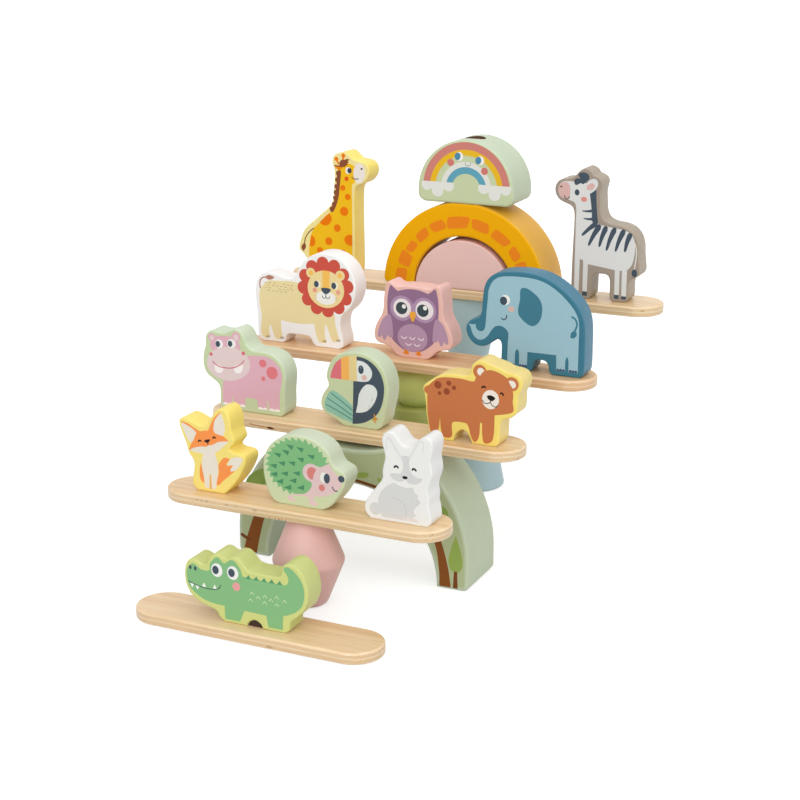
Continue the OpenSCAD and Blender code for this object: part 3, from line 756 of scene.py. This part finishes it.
def bear_art(a):
    brown, spot, cream = "#C27548", "#934A2F", "#EAE2D6"
    a.blob(brown, """
        -39.2,34.4 -38.4,36.4 -36,37.6 -33,40.5 -29,43.5 -22,44.8 -12,45 -2.5,44.3 -1,48 6.5,53 12,53.2
        20,50 24,45 25.6,39 25.4,33 25.8,26.6 20,24 12.6,22.4! 12.3,10 11,4 8,1.8 5.2,2 4,6 3.5,15.8!
        2.2,15.8! 1.5,6 -0.6,2 -2.6,2.2 -4.6,6 -6,11 -8,14 -17,14 -18.5,12 -18.3,4 -20.4,2! -24.6,2.4
        -26.6,8 -27.3,16! -28.2,8 -30,3 -33.2,3.4 -35.2,9 -36.6,18 -36.9,28 -36.9,31.4! -38.4,32.5
    """)
    a.ovals(brown, "1.5,51.5 24.5,45.6", 4.9)
    a.up()
    a.ovals(spot, "-29,38.7,2.7 -21,40.8,1.8 -17.2,38,1.6 -22.5,34.8,2.3 -27.8,33,1.3")
    a.blob(cream, """
        4.7,52.4! 3.5,53.9 1.6,54.2 -0.1,53 -0.4,51 0.5,49.4 1.9,48.8! 3,50.7 / 22.2,47.3! 24,48
        26.2,47.4 27.4,45.6 27,43.6 25.2,42.6! 23.7,44.6
    """)
    a.oval(cream, 9.5, 33, 6.1, 6.7, -10)
    a.line("#2E1D15", 1.2, "3.1,40.5 3.8,41.4 4.8,41.6 5.7,40.8 / 16.5,37.9 17.1,38.5 18,38.2 18.6,37.1")
    a.up()
    a.blob("#1F1D1C", "6.9,35.3 9.6,36 12.8,34.6 11.8,32.8 9.8,32 7.8,33.2")
    a.line("#4A4340", 0.6, "3.6,32 5,30.2 7.4,30 9.3,31.2 9.8,32.6 / 9.4,31.2 11,28.9 13.4,28.3 15,29.8")


def lion_art(a):
    body, mane, face, gold = "#E6D6A2", "#C85446", "#E9D49A", "#EFBB5C"
    a.blob(body, """
        -38,46.8 -32,47.6 -12,47.6 0,40 8,28 17.5,26.5 18.4,20 20,13 21.6,6.6 19,5.6 16,5.6 13.6,11
        10.6,18.6 9.8,15 9.8,9 11,4.2 8,3.6 5,4 2.2,10 0.6,17.8! -8,16.6 -18,16.6 -27.6,17.8! -27.2,11
        -26.6,4.4 -28.6,2.8 -32,2.8 -34.6,8 -36.6,14! -37.8,9 -37.4,4 -39.6,2.8 -43,3 -44.8,8 -44,20
        -45.6,30 -44.8,39.5
    """)
    a.oval(mane, 10.5, 46.6, 18.6, 18)
    for k in range(12):
        turn = math.radians(96 + 30 * k)
        a.oval(mane, 10.6 + 18.4 * math.cos(turn), 46.6 + 17.9 * math.sin(turn), 5)
    a.line("#A86B55", 0.9, "-44.6,40.6 -44.9,45.5 -42.8,48.8 -39,49.7")
    a.blob("#B07C68", "-40,49.6 -37.4,51.4 -34.4,51 -32.4,50 -34.6,48.4 -37.6,47.9")
    a.up()
    a.oval(face, 11, 45, 15.2, 14.2)
    a.ovals(face, "-1.4,56.4 23,56.4", 3.8)
    for row in range(4):
        for k in (j for j in range(7 - row // 3) if (3 * j + 5 * row) % 7 != 2):
            x = -40.5 + 3.8 * k + 1.9 * (row % 2) + 0.5 * math.sin(5 * k + 3 * row)
            z = 45.3 - 1.9 * row + 0.35 * math.sin(7 * k + row)
            a.line("#AB9870", 0.45, (x, z), (x + 0.8, z + 0.1), (x + 1.6, z))
    toes = """
        -40.5,3.1 -39.4,3.1 -38.3,3.1 -28.3,3.5 -27.2,3.5 -26.1,3.5 7.9,4.6 9,4.6 10.1,4.6
        19.5,6.4 20.6,6.4 21.7,6.4
    """
    a.stamp(a.line, toes, "0,-0.3 0.5,0.5 0.7,1.2", "#6B5748", 0.45)
    a.up()
    a.blob(gold, "8.2,46! 8.4,52 8.4,58.8! 11,59.2 14.2,58.7! 14,52 14,46!")
    a.ovals(gold, "-1.2,56.3 22.8,56.3", 1.9)
    a.ovals("#F1EBDD", "4.2,48.4 18.8,48.4", 2.3, 2.8)
    a.ovals("#E3A08C", "1.7,43.7 21.2,43.6", 1.8)
    a.oval("#EDEBE6", 11, 38.5, 8.4, 5.2)
    a.up()
    a.ovals(NAVY, "3.2,48.3 17.7,48.3", 2, 2.5)
    a.blob(NAVY, "7.2,45.4 11,46.1 15.1,45.4 14,42.9 11,41.3 8.2,42.9")
    a.line(NAVY, 0.55, "11,41.6 11,39.2 / 7.9,40 8.6,38.4 10,38.2 11,39.4 12,38.2 13.4,38.4 14.3,40")
    for side in (-1, 1):
        for k in (0, 1):
            root = (11 + side * 7.4, 39.2 - 1.3 * k)
            a.line("#B9A98F", 0.3, root, (11 + side * 9.6, 39.4 - 1.6 * k))


def owl_art(a):
    plum, lilac, ring = "#8E6C8A", "#B08FA8", "#AB8CAB"
    middle = -3
    half = spots("""
        0,51.8 6,51.2 12,49.4! 14.6,51.2 17.7,53.4 19.2,49.5 20.2,44 20.4,36 19.6,27 17,14 12,9 7,6
    """)
    a.blob(plum, *shifted(half, middle, -1), (middle, 4.9), *shifted(half[:0:-1], middle))
    a.up()
    a.ovals(ring, "-11.7,37 6,37", 9.4)
    a.blob(ring, "-5.5,41.5 -3,41 -0.5,41.5 0,33 -3,29.5 -6,33")
    a.oval(lilac, -3.2, 15.4, 12, 10.4)
    wing = spots("""
        18.4,31.2 21.4,30.2 24.6,26.5 27,21 28.3,15.5 27.6,13.3 26,13.8 24.8,15.6! 24,12.8 22.7,11.5
        21.6,13 20.2,15.8! 18.4,14 16,14.4 16,20 16.6,26
    """)
    for side in (-1, 1):
        a.blob(lilac, *shifted(wing, middle, side))
    a.up()
    a.ovals("#E6DDE0", "-11.5,37 6.3,37", 7.1)
    places = "-10,15.2 -3.3,15.2 3.7,15.2 -6.3,10.4 0.5,10.4"
    a.stamp(a.line, places, "-2.2,0.7 -1.3,-0.2 0,-0.7 1.3,-0.2 2.2,0.7", "#EADBE6", 0.7)
    claw = "-2.8,3.2 -1.6,4.4 -1.4,5.8 1,5.8 1.4,4.4 2.8,3 1,3.1! 0,2! -0.9,3.2!"
    a.stamp(a.blob, "-8.2,0 1.8,0", claw, "#E0822A")
    a.up()
    a.ovals("#3F4A4F", "-11.9,37 5,36.7", 4.6)
    a.blob("#E6A340", "-5.6,33 -4.6,35 -1.4,35 -0.5,33 -1.4,30 -3,27.4 -4.6,30")
    a.up()
    a.ovals(CHALK, "-10,38.4 6.8,38.8", 1.6)


def elephant_art(a):
    body, ear, nail = "#98BCC9", "#41788B", "#3D5070"
    a.blob(body, """
        -34.6,50 -34,57 -31,63.5 -26,67 -18,68.3 -8,68.6 2,67.8 10,65.3 18,60.5 26,53.5 31.5,46.5
        33.8,40 34,25 34,3.6! 27.1,3.6! 26.9,12 25.8,14.6 24.7,12 24.5,3.6! 18,3.6! 17.8,15! -3.8,15!
        -4,3.6! -10,3.6! -10.2,14 -11.6,16.2 -13,14 -13.2,3.6! -19,3.6! -18.8,20 -18.5,27 -20.5,30
        -24,31.7 -28,31.3 -31,28.5 -33.5,24.5 -37,21 -41,20 -44.5,22 -46.5,25.5 -47.6,29 -49,31!
        -46,30.7 -43.5,31.2! -43.5,29 -42,27 -39.5,26.3 -37,27.8 -36,32 -35.5,40
    """)
    a.up()
    a.blob(ear, """
        -9.8,60 -6,61 -1.5,59 4,54.5 6.4,49 6,41.5 3.5,36.5 0,34.2 -4,35 -10.5,40.5 -11.5,45 -10.3,52
    """)
    a.oval(CHALK, -21.2, 51, 3.5, 3.7)
    a.oval("#D2B1AA", -16.7, 44.8, 2.6, 2)
    a.line(NAVY, 0.8, "-24,37.6 -22.6,36.6 -20.8,37.4 -20,39 -20,40.2")
    a.line(ear, 1.3, "28.4,43.8 31,42.4 32.4,39 31.6,35.4 30.2,32.8")
    a.blob(ear, "30.9,34 32.5,31.6 30.4,28.6 27.8,28.8! 28.3,32.2")
    nails = "-18.2,0 -16.1,0 -14,0 -9.1,0 -7,0 -4.9,0 19.2,0 21.3,0 23.4,0 28.4,0 30.5,0 32.6,0"
    a.stamp(a.blob, nails, "-1,3.7! -0.9,4.8 0,5.5 0.9,4.8 1,3.7!", nail)
    a.up()
    a.oval("#3F4F5C", -22.6, 50.3, 2.7, 3.1)


def giraffe_art(a):
    body, spot, brown = "#ECB91C", "#E67608", "#864D33"
    a.blob(body, """
        -27.4,13 -27,22 -25.5,30 -22,36.6 -16,42 -10,48 -5.5,53 -3,58 -1.5,66 -0.8,75 -0.2,86 3,90.4
        9,90 14,88 16,82 14.5,76 12,73 11.8,60 11.8,30 11.8,3! 2.6,3! 1.2,10 -2,14.2 -10,14.4 -13.6,10
        -15,3! -26,3!
    """)
    a.line(spot, 1.5, "0.2,89 -0.8,91 -1.7,92.6 / 4,92 4.2,94 4.5,95.8")
    a.ovals(spot, "-1.8,92.9 4.5,96", 1.65)
    a.up()
    a.oval("#E7E0D8", 18.3, 82.8, 5.1, 8, -4)
    a.ovals(spot, """
        4.7,51.5,3.7 8,63.3,2.5 3.7,70.3,2.3 -1.6,37.5,3.1 -9.4,26.3,3.2 3.2,17.5,3 -17.5,18,2.8
        -20.5,11,2 6.5,8,2
    """)
    a.blob(spot, """
        -17.4,41! -11.8,46.6 -8.6,48.9! -6.5,45.6 -7.6,41.6 -11.6,38.8 -15,39.4 / 11.8,24! 8,24.4 5,27
        5,30.4 8,32.8 11.8,33! / -27,20.6! -23.6,21 -21.6,24 -22.4,28 -25.2,30!
    """)
    a.oval("#DD5A16", 7.1, 77.8, 1.85)
    a.blob(brown, """
        1.9,84 1.8,78 1,71 0,63.4 -2.4,55.6 -5.4,50.3 -7.4,50.6 -6.6,54 -4,60 -2.6,68 -1.6,76 -1,83.4
    """)
    a.ovals(brown, "-0.7,81.6 -1.5,76.4 -2.3,71 -3,66.2 -3.6,61.8 -4.6,56.6 -6.7,52.6", 1.6, 1.9, 8)
    a.blob("#E4850F", "-3.4,87.4 -1.6,85.3 0.6,84.5 3.2,86 4,87.8 0,87.6")
    a.blob(brown, "-30.9,22.6 -30.4,19.6 -32.6,16.4 -34.4,19.2 -33,22")
    a.oval(CHALK, 8.5, 84.4, 2.3, 2.7)
    a.line("#7A4C20", 0.8, "-22.8,35.9 -27,32.4 -30.4,27.6 -31.8,22")
    a.up()
    a.blob(brown, """
        -3.6,88.2 0,87.9 4.4,89 4,87 0,87 -3,87.3 / 0.8,89.6 2.6,92.4 5.2,92.6 7.2,93.5 9.9,93.3!
        8.2,91.8! 9.3,90.6! 7.3,90! 8.6,88.7! 6.6,88.2 5.2,87 3,87.6 1.4,88.4
    """)
    a.oval("#3A434E", 9.8, 84.4, 1.85, 2.1)
    a.oval("#544640", 20.5, 86.5, 0.9, 0.8)
    a.line("#6E6048", 0.75, "11.8,79.3 13.2,78.5 15.4,78 17.6,78.6")


def zebra_art(a):
    body, rose = "#D9D9D7", "#D6AFA9"
    a.blob(body, """
        -35.2,82 -34,85.8 -31,88 -26,88.7 -20,88.2 -14,88 -9,86 -6.5,80 -5.2,72 -4.4,64 -3.4,58.4!
        0,57.3 8,56.2 16,55.2 21,53.4 24.6,49.6 26,44 25.8,36 24.4,30 22.4,26.8 20.6,25! 20.6,2.5!
        16.9,2.5! 16.7,24.2! 14.9,24.2! 15,2.5! 11.3,2.5! 11.2,24.3! -10.1,27! -10.2,2.6! -13.8,2.6!
        -13.9,29.6! -16.6,30.4! -16.8,2.6! -20.5,2.6! -20.6,40 -20.6,60 -20.8,70 -22.5,73.2 -27,74.6
        -32,76 -34.4,78.6
    """)
    a.line("#DAD7CE", 0.9, "25.8,46 27.2,41 27.3,35 26.2,26")
    a.up()
    a.blob(rose, """
        -35.2,82 -34,85.5 -31,87.4 -27.8,87.4 -26.2,85 -25.6,81.5 -26.4,77 -28.4,75 -31.4,75.8 -34,78.4
    """)
    a.blob(NAVY, "-10.3,80.2! -5.4,83.6! -5,75 -4.2,66 -3.2,58.6! -6,57.2! -7.9,60 -8.3,66 -9,72")
    a.line(NAVY, 2.2, "-8,67.6 -12,67 -15.6,67 / -7.6,61.4 -11,61.2 -14.4,61.4", end=0.8)
    a.line(NAVY, 4, "-5,58 -10,54 -15.2,48.8", end=1.9)
    for stripe, wide in (("-2.2,56.4 -9.9,41.6", 4.5), ("3,55.6 -1.6,41.4", 4.2),
                         ("9.8,55 4.1,39.1", 4.2), ("16.8,54.2 11.2,39", 4.2), ("22,52 18.4,39.2", 4.2)):
        top, low = spots(stripe)
        a.line(NAVY, wide, top, ((top[0] + low[0]) / 2 - 0.5, (top[1] + low[1]) / 2), low, end=1.9)
    a.blob(NAVY, """
        -22.1,90.4 -20,91.2 -17.9,90.9! -19.6,93.6 -18.6,95.3 -14.8,95.8 -11.7,94.2 -11.2,91.4 -13,89.2
        -15.7,86.9! -17.6,87.8! -21.4,86 -22.8,88.4
    """)
    a.blob(body, """
        -10.2,80.6 -12.8,83.4 -13.1,87.2 -10.6,90.4 -7,91.5 -4.7,90 -4.3,86.8 -6,83.6 -8.4,81.4
    """)
    for x, top in ((-18.65, 5.8), (-12, 5.8), (13.1, 5.5), (18.7, 4.9)):
        a.poly(NAVY, (x - 1.85, 2.5), (x + 1.85, 2.5), (x + 1.85, top), (x - 1.85, top))
    a.oval("#D98F86", -14.7, 75.8, 2.4, 1.9)
    a.ovals(NAVY, "-20.3,80.6,1.9,2.3 26.3,23.2,2.1,2.9")
    a.up()
    a.oval(rose, -9.8, 85.5, 3.5, 2.3, 32)
    a.oval("#3C3538", -32.9, 84.1, 0.8, 0.6)
    a.line("#56504E", 0.7, "-30.2,77.7 -29.5,75.8 -28,75.1 -26.7,75.8 -26.2,77.4")


def dome_art(a):
    cloud = "#DEDFD8"
    z = 11.6
    for code, inner, outer in (("#C97F75", 30, 35.7), ("#E3B428", 25.5, 30), ("#DCDDD5", 16.8, 20.8),
                               ("#5F9FB4", 11.7, 16.8)):
        a.add(code, arc(0, z, outer, 5, 175, BAND_STEPS) + arc(0, z, inner, 175, 5, BAND_STEPS))
    a.up()
    puffs = spots("""
        36.6,15.8! 36.8,12.4 34.6,9.4 31,9 28.6,10.8! 27.6,6.4 23.4,4.2 19.4,6.2 18.4,10.8! 16,9
        12,9.4 10,12.2 10.4,15.8!
    """)
    for side in (-1, 1):
        a.blob(cloud, *shifted(puffs, 0, side))
    a.ovals("#EDEEEA", "-5.8,36.2,3.2,3.4,-10 11.4,34,3.2,3.3,-10")
    a.ovals("#CB7870", "-12.8,31.2 15,26.2", 2.8)
    a.line("#8C989A", 0.5, "-1,32.2 -0.2,29.9 1.6,29.4 3.2,30.2 3.8,32")
    a.up()
    a.ovals("#4B87A6", "-7.1,36.2 9.9,34", 2.4, 2.9, -10)


def stone_art(a):
    ring_r = 53
    corners = spots("-0.5,-0.36 -0.4,-0.5 0.38,-0.5 0.5,-0.34 0.48,0.36 0.36,0.5 -0.36,0.5 -0.5,0.34")
    stones = (
        (172, 11, 9.5), (157.4, 10.5, 9.3), (144.8, 9.3, 7), (130.3, 11, 6.6), (113.7, 12.5, 8),
        (94.9, 17.8, 8.2), (74.5, 14.5, 8.6), (54.4, 14.8, 7), (36.8, 9.8, 8), (23.5, 9.5, 8.2),
        (9.5, 10, 8.8),
    )
    for k, (turn, wide, deep) in enumerate(stones):
        points = []
        for u, v in corners:
            sway = 0.05 * math.sin(3.1 * k + 7 * u + 4 * v)
            around = math.radians(turn) - (u + sway) * wide / ring_r
            reach = ring_r + (v + sway) * deep
            points.append((reach * math.cos(around), reach * math.sin(around)))
        a.blob("#E7831D", *points)


def tree_art(a):
    bark, dark, leaf, lime = "#854F24", "#764523", "#8AA552", "#93AA55"
    a.blob(bark, "-87,1.6! -83.6,14 -78.6,28 -71,48 -65,57! -59,53! -64,42 -69.6,28 -73.6,13 -76,1.6!")
    a.line(dark, 2.6, "-81,11 -84.6,12.2 -88.4,14.2")
    a.blob(leaf, "-84,46 -83.5,56 -78,63 -68,68 -58,70 -52,66 -55,60 -62,58 -68,56 -73,50 -78,44")
    a.blob(bark, "69,1.6! 68.6,14 66,30 60,43 52,54! 57,57! 65,46 70.6,33 75.4,16 77.6,1.6!")
    a.blob(lime, "81,40.5! 84,31.6 86.2,22 85,15.6 81,13 77,15.6 75.8,22 78,31.6")
    a.poly(dark, "79.2,1.6 82.8,1.6 82.3,14 79.9,14")
    a.blob(leaf, "66,52 66.6,58 70,60.5 74,58.5 75,54.5 71.6,51")
    a.line(dark, 2.2, "-40,60.6 -22,67.4 -2,69.8 14,68 24,65.6 36,60.6")
    a.up()
    a.ovals(lime, "-32,68,5,2.1,50 -20,73.6,5,2.1,30 -6,75.6,5,2.1,-10 10,74,5,2.1,12 26,70.6,5,2.1,-30")
    a.ovals(lime, "-76,56 -66,64", 5, 3.2, 40)


# Boards

pale_ply = plywood("birch_plywood", 0)
# Row 1's plywood is darker and warmer all over than rows 2, 3 and 5: painted shade, for the warm shade
# around the crocodile
plies = {1: plywood("birch_plywood_painted_shade", 0.15), 4: plywood("warm_birch_plywood", 0.5)}
for row in range(1, 6):
    node = "board_row_%d" % row
    low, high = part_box(node)
    y = (low.y + high.y) / 2
    r = (high.y - low.y) / 2
    outline = arc(high.x - r, y, r, -90, 90, BOARD_END_STEPS)
    outline += arc(low.x + r, y, r, 90, 270, BOARD_END_STEPS)
    bm = rounded(outline, low.z, high.z, BOARD_EDGE, False)
    place_piece(node + "_wood", bm, node, [plies.get(row, pale_ply)])

# Knot and specks in the plywood's edges

knot = Art("board_row_3", 55.6)
knot.line("#C08C62", 0.9, "-17,3.3 -10,2.8 -3,2.4 5,1.9", end=0.5)
knot.up()
knot.oval("#7A4428", 0.3, 2.3, 2.7, 0.9, -4)
knot.up()
knot.oval("#45261A", -0.6, 2.3, 0.9, 0.6)
knot.make()
specks = Art("board_row_2", 92.3)
specks.ovals("#B3714F", "-4,1.6,0.6,0.4 0,1.4,0.5,0.4 2.8,1.3,0.7,0.4 5,1.5,0.4,0.4 8.2,1.4,0.5,0.4")
specks.ovals("#B4936F", """
    -60,5.3,1.1,0.35 -56.5,5,0.8,0.35 -52.5,5.2,1.3,0.35 -37,5.1,1.5,0.35 -30,4.8,0.9,0.35
""")
specks.make()

# Turned blocks


def waisted(node, end, waist, code):
    """Double cone, widest half way up."""
    low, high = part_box(node)
    tall = high.z - low.z
    soft = WAIST_RIM
    lean = math.degrees(math.atan2(waist - end, tall / 2 - soft))
    profile = [(0, 0)] + rim(end, soft, soft, -90, -lean)
    profile += rim(waist, tall / 2, soft, -lean, lean)
    profile += rim(end, tall - soft, soft, lean, 90) + [(0, tall)]
    return lathe(node, profile, code)


def cone(node, wide, narrow, flipped, code):
    """Truncated cone or cylinder with soft rims."""
    low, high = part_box(node)
    tall = high.z - low.z
    soft = CONE_RIM
    lean = math.degrees(math.atan2(wide - narrow, tall - 2 * soft))
    profile = [(0, 0)] + rim(wide, soft, soft, -90, lean)
    profile += rim(narrow, tall - soft, soft, lean, 90) + [(0, tall)]
    if flipped:
        profile = [(r, tall - z) for r, z in profile[::-1]]
    return lathe(node, profile, code)


def ball(node, flat, code):
    """Ball with a flat at its top and bottom."""
    low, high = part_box(node)
    half = (high.z - low.z) / 2
    reach = math.degrees(math.atan2(half, flat))
    side = arc(0, half, math.hypot(flat, half), -reach, reach, BAND_STEPS)
    return lathe(node, [(0, 0)] + [(p.x, p.y) for p in side] + [(0, 2 * half)], code)


cone_end = 14 * MM
cone_base = 25.5 * MM
stem = 20 * MM
pink, blue = "#E2B5AE", "#AFC9CE"
waisted("pink_double_cone_row_2", cone_end, 24.5 * MM, pink)
waisted("pink_double_cone_row_5", cone_end, 19.5 * MM, pink)
cone("green_cylinder", stem, stem, False, "#AEB363")
# The ball's green is lighter than the cylinder's: painted light, for the light falling on the ball under
# the board
ball("green_ball", 12 * MM, "#C6CD75")
cone("blue_cone_lower", cone_base, cone_end, False, blue)
cone("blue_cone_upper", cone_base, cone_end, True, blue)

# Arches and dome


def moved(points, x, z):
    """Points moved along X and Z."""
    return [Vector((p.x + x, p.y + z)) for p in points]


def half_round(r, foot, sunk=0, top=90):
    """Half disc with rounded lower corners, its middle sunk below its flat side. Its curve runs from
    the right foot over the top, level above the given angle, to the left foot."""
    x = math.sqrt((r - foot) ** 2 - (foot + sunk) ** 2)
    tip = math.degrees(math.asin((foot + sunk) / (r - foot)))
    right = arc(x, foot, foot, -90, tip, FOOT_STEPS)
    right += arc(0, -sunk, r, tip, top, HALF_ROUND_STEPS)[1:]
    left = [Vector((-p.x, p.y)) for p in right[::-1]]
    return right + left[1 if top == 90 else 0:]


low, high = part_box("tree_bridge")
mid = (low.x + high.x) / 2
curve = (high.x - low.x) / 2
tall = high.z - low.z
open_r = 66.5 * MM
foot = 5 * MM
top_half = 47 * MM
knee = tall - math.sqrt(curve ** 2 - top_half ** 2)
shoulder = math.degrees(math.atan2(tall - knee, top_half))
saddle_r = 90 * MM
saddle_deep = 4.5 * MM
saddle_z = tall - saddle_deep + saddle_r
dip = math.degrees(math.asin((saddle_z - tall) / saddle_r))
bridge = (
    arc(curve - foot, foot, foot, -90, 0, FOOT_STEPS)
    + arc(0, knee, curve, 0, shoulder, SADDLE_STEPS)
    + arc(0, saddle_z, saddle_r, -dip, -180 + dip, SADDLE_STEPS)
    + arc(0, knee, curve, 180 - shoulder, 180, SADDLE_STEPS)
    + arc(-curve + foot, foot, foot, 180, 270, FOOT_STEPS)
    + arc(0, 0, open_r, 180, 0, ARCH_STEPS)
)
bare_border = 2.9 * MM
loop = moved(bridge, mid, low.z)
slab("tree_bridge", loop, BLOCK_EDGE, "#B9C5A8", "#B0BB91", bare_border)
printed("tree_bridge", curve / MM, tree_art)

low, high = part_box("stone_arch")
mid = (low.x + high.x) / 2
reach = 67.8 * MM
open_r = 41.5 * MM
seat = math.degrees(math.asin((high.z - low.z) / reach))
arch = half_round(reach, 4 * MM, 0, seat) + arc(0, 0, open_r, 180, 0, ARCH_STEPS)
slab("stone_arch", moved(arch, mid, low.z), BLOCK_EDGE, "#E8AE2E", "#EAA904")
printed("stone_arch", (high.x - low.x) / 2 / MM, stone_art)

low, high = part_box("pink_half_round")
mid = (low.x + high.x) / 2
disc = half_round(39.8 * MM, 1.5 * MM, 1.3 * MM)
slab("pink_half_round", moved(disc, mid, low.z), FINE_EDGE, "#E0B2AA", "#E3BFB8")

low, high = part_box("rainbow_dome")
mid = (low.x + high.x) / 2
reach = (high.x - low.x) / 2
skirt = (high.z - low.z) - reach
corner = 7 * MM
dome = (
    arc(reach - corner, corner, corner, -90, 0, DOME_FOOT_STEPS)
    + arc(0, skirt, reach, 0, 180, DOME_STEPS)
    + arc(-reach + corner, corner, corner, 180, 270, DOME_FOOT_STEPS)
)
loop = moved(dome, mid, low.z)
piece = slab("rainbow_dome", loop, BLOCK_EDGE, "#C2CFB4", "#C2CDA5")
piece.data.materials.append(inside_dark_wood("#4A2A17", "#6E4428"))
hole_r = 8 * MM
hole_wall = hole_r + 0.03 * MM
hole_deep = 18 * MM
hole_floor = high.z - hole_deep
cutter_tall = 28 * MM
axis = Vector((mid, (low.y + high.y) / 2))
bm = bmesh.new()
bmesh.ops.create_cone(
    bm, cap_ends=True, segments=HOLE_SIDES, radius1=hole_r, radius2=hole_r, depth=cutter_tall
)
cutter = put("hole", closed_mesh("hole", bm))
cutter.location = (axis.x, axis.y, hole_floor + cutter_tall / 2)
cut = piece.modifiers.new("hole", "BOOLEAN")
cut.operation = "DIFFERENCE"
cut.solver = "EXACT"
cut.object = cutter
bpy.context.view_layer.update()
graph = bpy.context.evaluated_depsgraph_get()
bored = bpy.data.meshes.new_from_object(piece.evaluated_get(graph))
piece.modifiers.remove(cut)
piece.data = bored
bpy.data.objects.remove(cutter)
for face in bored.polygons:
    away = [(bored.vertices[k].co.xy - axis).length for k in face.vertices]
    upright = abs(face.normal.z) < 0.5
    at_floor = face.center.z < hole_floor + 0.1 * MM
    if max(away) < hole_wall and (upright or at_floor):
        face.material_index = 2
    elif min(away) < hole_wall:
        face.use_smooth = False
bored.set_sharp_from_angle(angle=SHARP)
printed("rainbow_dome", reach / MM + 0.8, dome_art)

# Animals: node, place of the drawing's upright line, slot, side colour, face colour, drawing

CROCODILE_LEFT = 53
ANIMALS = (
    ("crocodile", CROCODILE_LEFT, "lime_paint", "#C4CB80", "#CBD184", crocodile_art),
    ("fox", 25, "straw_paint", "#F8DF74", "#EFDA7C", fox_art),
    ("hedgehog", 35.5, "pale_green_paint", "#CAD5BB", "#C6D0A9", hedgehog_art),
    ("rabbit", 25.6, "white_paint", "#E9E9E7", "#E6E6E3", rabbit_art),
    ("hippo", 39.3, "pale_green_paint", "#CAD8BE", "#C2CFA6", hippo_art),
    ("toucan", 29, "pale_green_paint", "#C6D2B5", "#C2CCA4", toucan_art),
    ("bear", 40.3, "straw_paint", "#ECD685", "#EFD873", bear_art),
    # The lion's white paint is lighter than the rabbit's: in part painted light, lifting its right side
    # where it stands in shade
    ("lion", 49.2, "white_paint", "#F5F2F1", "#EDECEA", lion_art),
    ("owl", 34.3, "pink_paint", "#EDBFB7", "#E2B6AB", owl_art),
    ("elephant", 51.2, "teal_paint", "#3B758E", "#3E7589", elephant_art),
    # The giraffe's straw paint is lighter than the fox's and bear's: painted light, lifting its right
    # side where it stands in shade
    ("giraffe", 36.8, "straw_paint", "#FBE371", "#EBDC97", giraffe_art),
    ("zebra", 37.9, "taupe_paint", "#A59886", "#9F9285", zebra_art),
)
for node, left, slot, side, face, draw in ANIMALS:
    slab(node, front_loop(node), FINE_EDGE, side, face)
    printed(node, left, draw)

# Painted shade: a dark block filling the notch under the crocodile, standing in for the deep shade
# inside it
low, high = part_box("crocodile")
notch = [Vector(p) * MM for p in spots("-7.6,0.1 5.2,0.1 3.5,3.5 -1.2,5.7 -5.9,3.5")]
notch = moved(notch, low.x + CROCODILE_LEFT * MM, low.z)
set_back = 1.5 * MM
bm = rounded(notch, low.y + set_back, high.y - set_back, 0.1 * MM)
# This dark brown is painted shade, not the colour of the wood
painted_shade_wood = inside_dark_wood("#24120A", "#3A2213")
notch_shade = put("crocodile_notch_shade", closed_mesh("crocodile_notch_shade", bm, [painted_shade_wood]))
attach(notch_shade, "crocodile")

# Floor, light and camera


def on_rays(tree, first, *others):
    """One on rays of these kinds and nought on others."""
    path = add(tree, "ShaderNodeLightPath").outputs
    seen = path[first]
    for kind in others:
        seen = calc(tree, "MAXIMUM", seen, path[kind])
    return seen


reach = 30
floor_glow = 0.62
floor_mesh = bpy.data.meshes.new("floor")
corners = [(-reach, -reach, 0), (reach, -reach, 0), (reach, reach, 0), (-reach, reach, 0)]
floor_mesh.from_pydata(corners, [], [(0, 1, 2, 3)])
floor = put("floor", floor_mesh)
floor.location.z = -0.2 * MM
mat, tree, shader = new_material("floor_white")
glow = calc(tree, "MULTIPLY", on_rays(tree, "Is Camera Ray", "Is Glossy Ray"), floor_glow)
feed(tree, shader, ("Base Color", (0.6, 0.6, 0.6, 1)), ("Roughness", 0.9), ("Specular IOR Level", 0.1))
feed(tree, shader, ("Emission Color", WHITE), ("Emission Strength", glow))
floor_mesh.materials.append(mat)

# The surround is white to the eye and lights the pieces less strongly
world_light = 0.42
world = bpy.data.worlds.new("studio")
scene.world = world
world.use_nodes = True
tree = world.node_tree
seen = on_rays(tree, "Is Camera Ray", "Is Glossy Ray", "Is Transmission Ray")
light = spread(tree, seen, world_light, 1, 0, 1)
feed(tree, tree.nodes["Background"], ("Color", WHITE), ("Strength", light))


def sun(name, strength, spread_deg, turn, height):
    """Soft far light from an azimuth and a height, in degrees."""
    lamp = bpy.data.lights.new(name, "SUN")
    lamp.energy = strength
    lamp.angle = math.radians(spread_deg)
    holder = put(name, lamp)
    holder.rotation_euler = (math.radians(90 - height), 0, math.radians(turn))


sun("top", 0.86, 75, 170, 76)
sun("front", 1.7, 60, 10, 29)
sun("side", 0.65, 60, 85, 25)

# Camera fitted to the photo: focal length and width in pixels, angles in degrees
focal_px, photo_px = 1682.5, 800
pitch, heading = 16.637, 24.833
camera = bpy.data.cameras.new("camera")
camera.sensor_width = 36
camera.lens = focal_px / photo_px * camera.sensor_width
camera.clip_end = 100
holder = put("camera", camera)
holder.location = (0.4923, -1.0437, 0.45947)
holder.rotation_euler = (math.radians(90 - pitch), 0, math.radians(heading))
scene.camera = holder
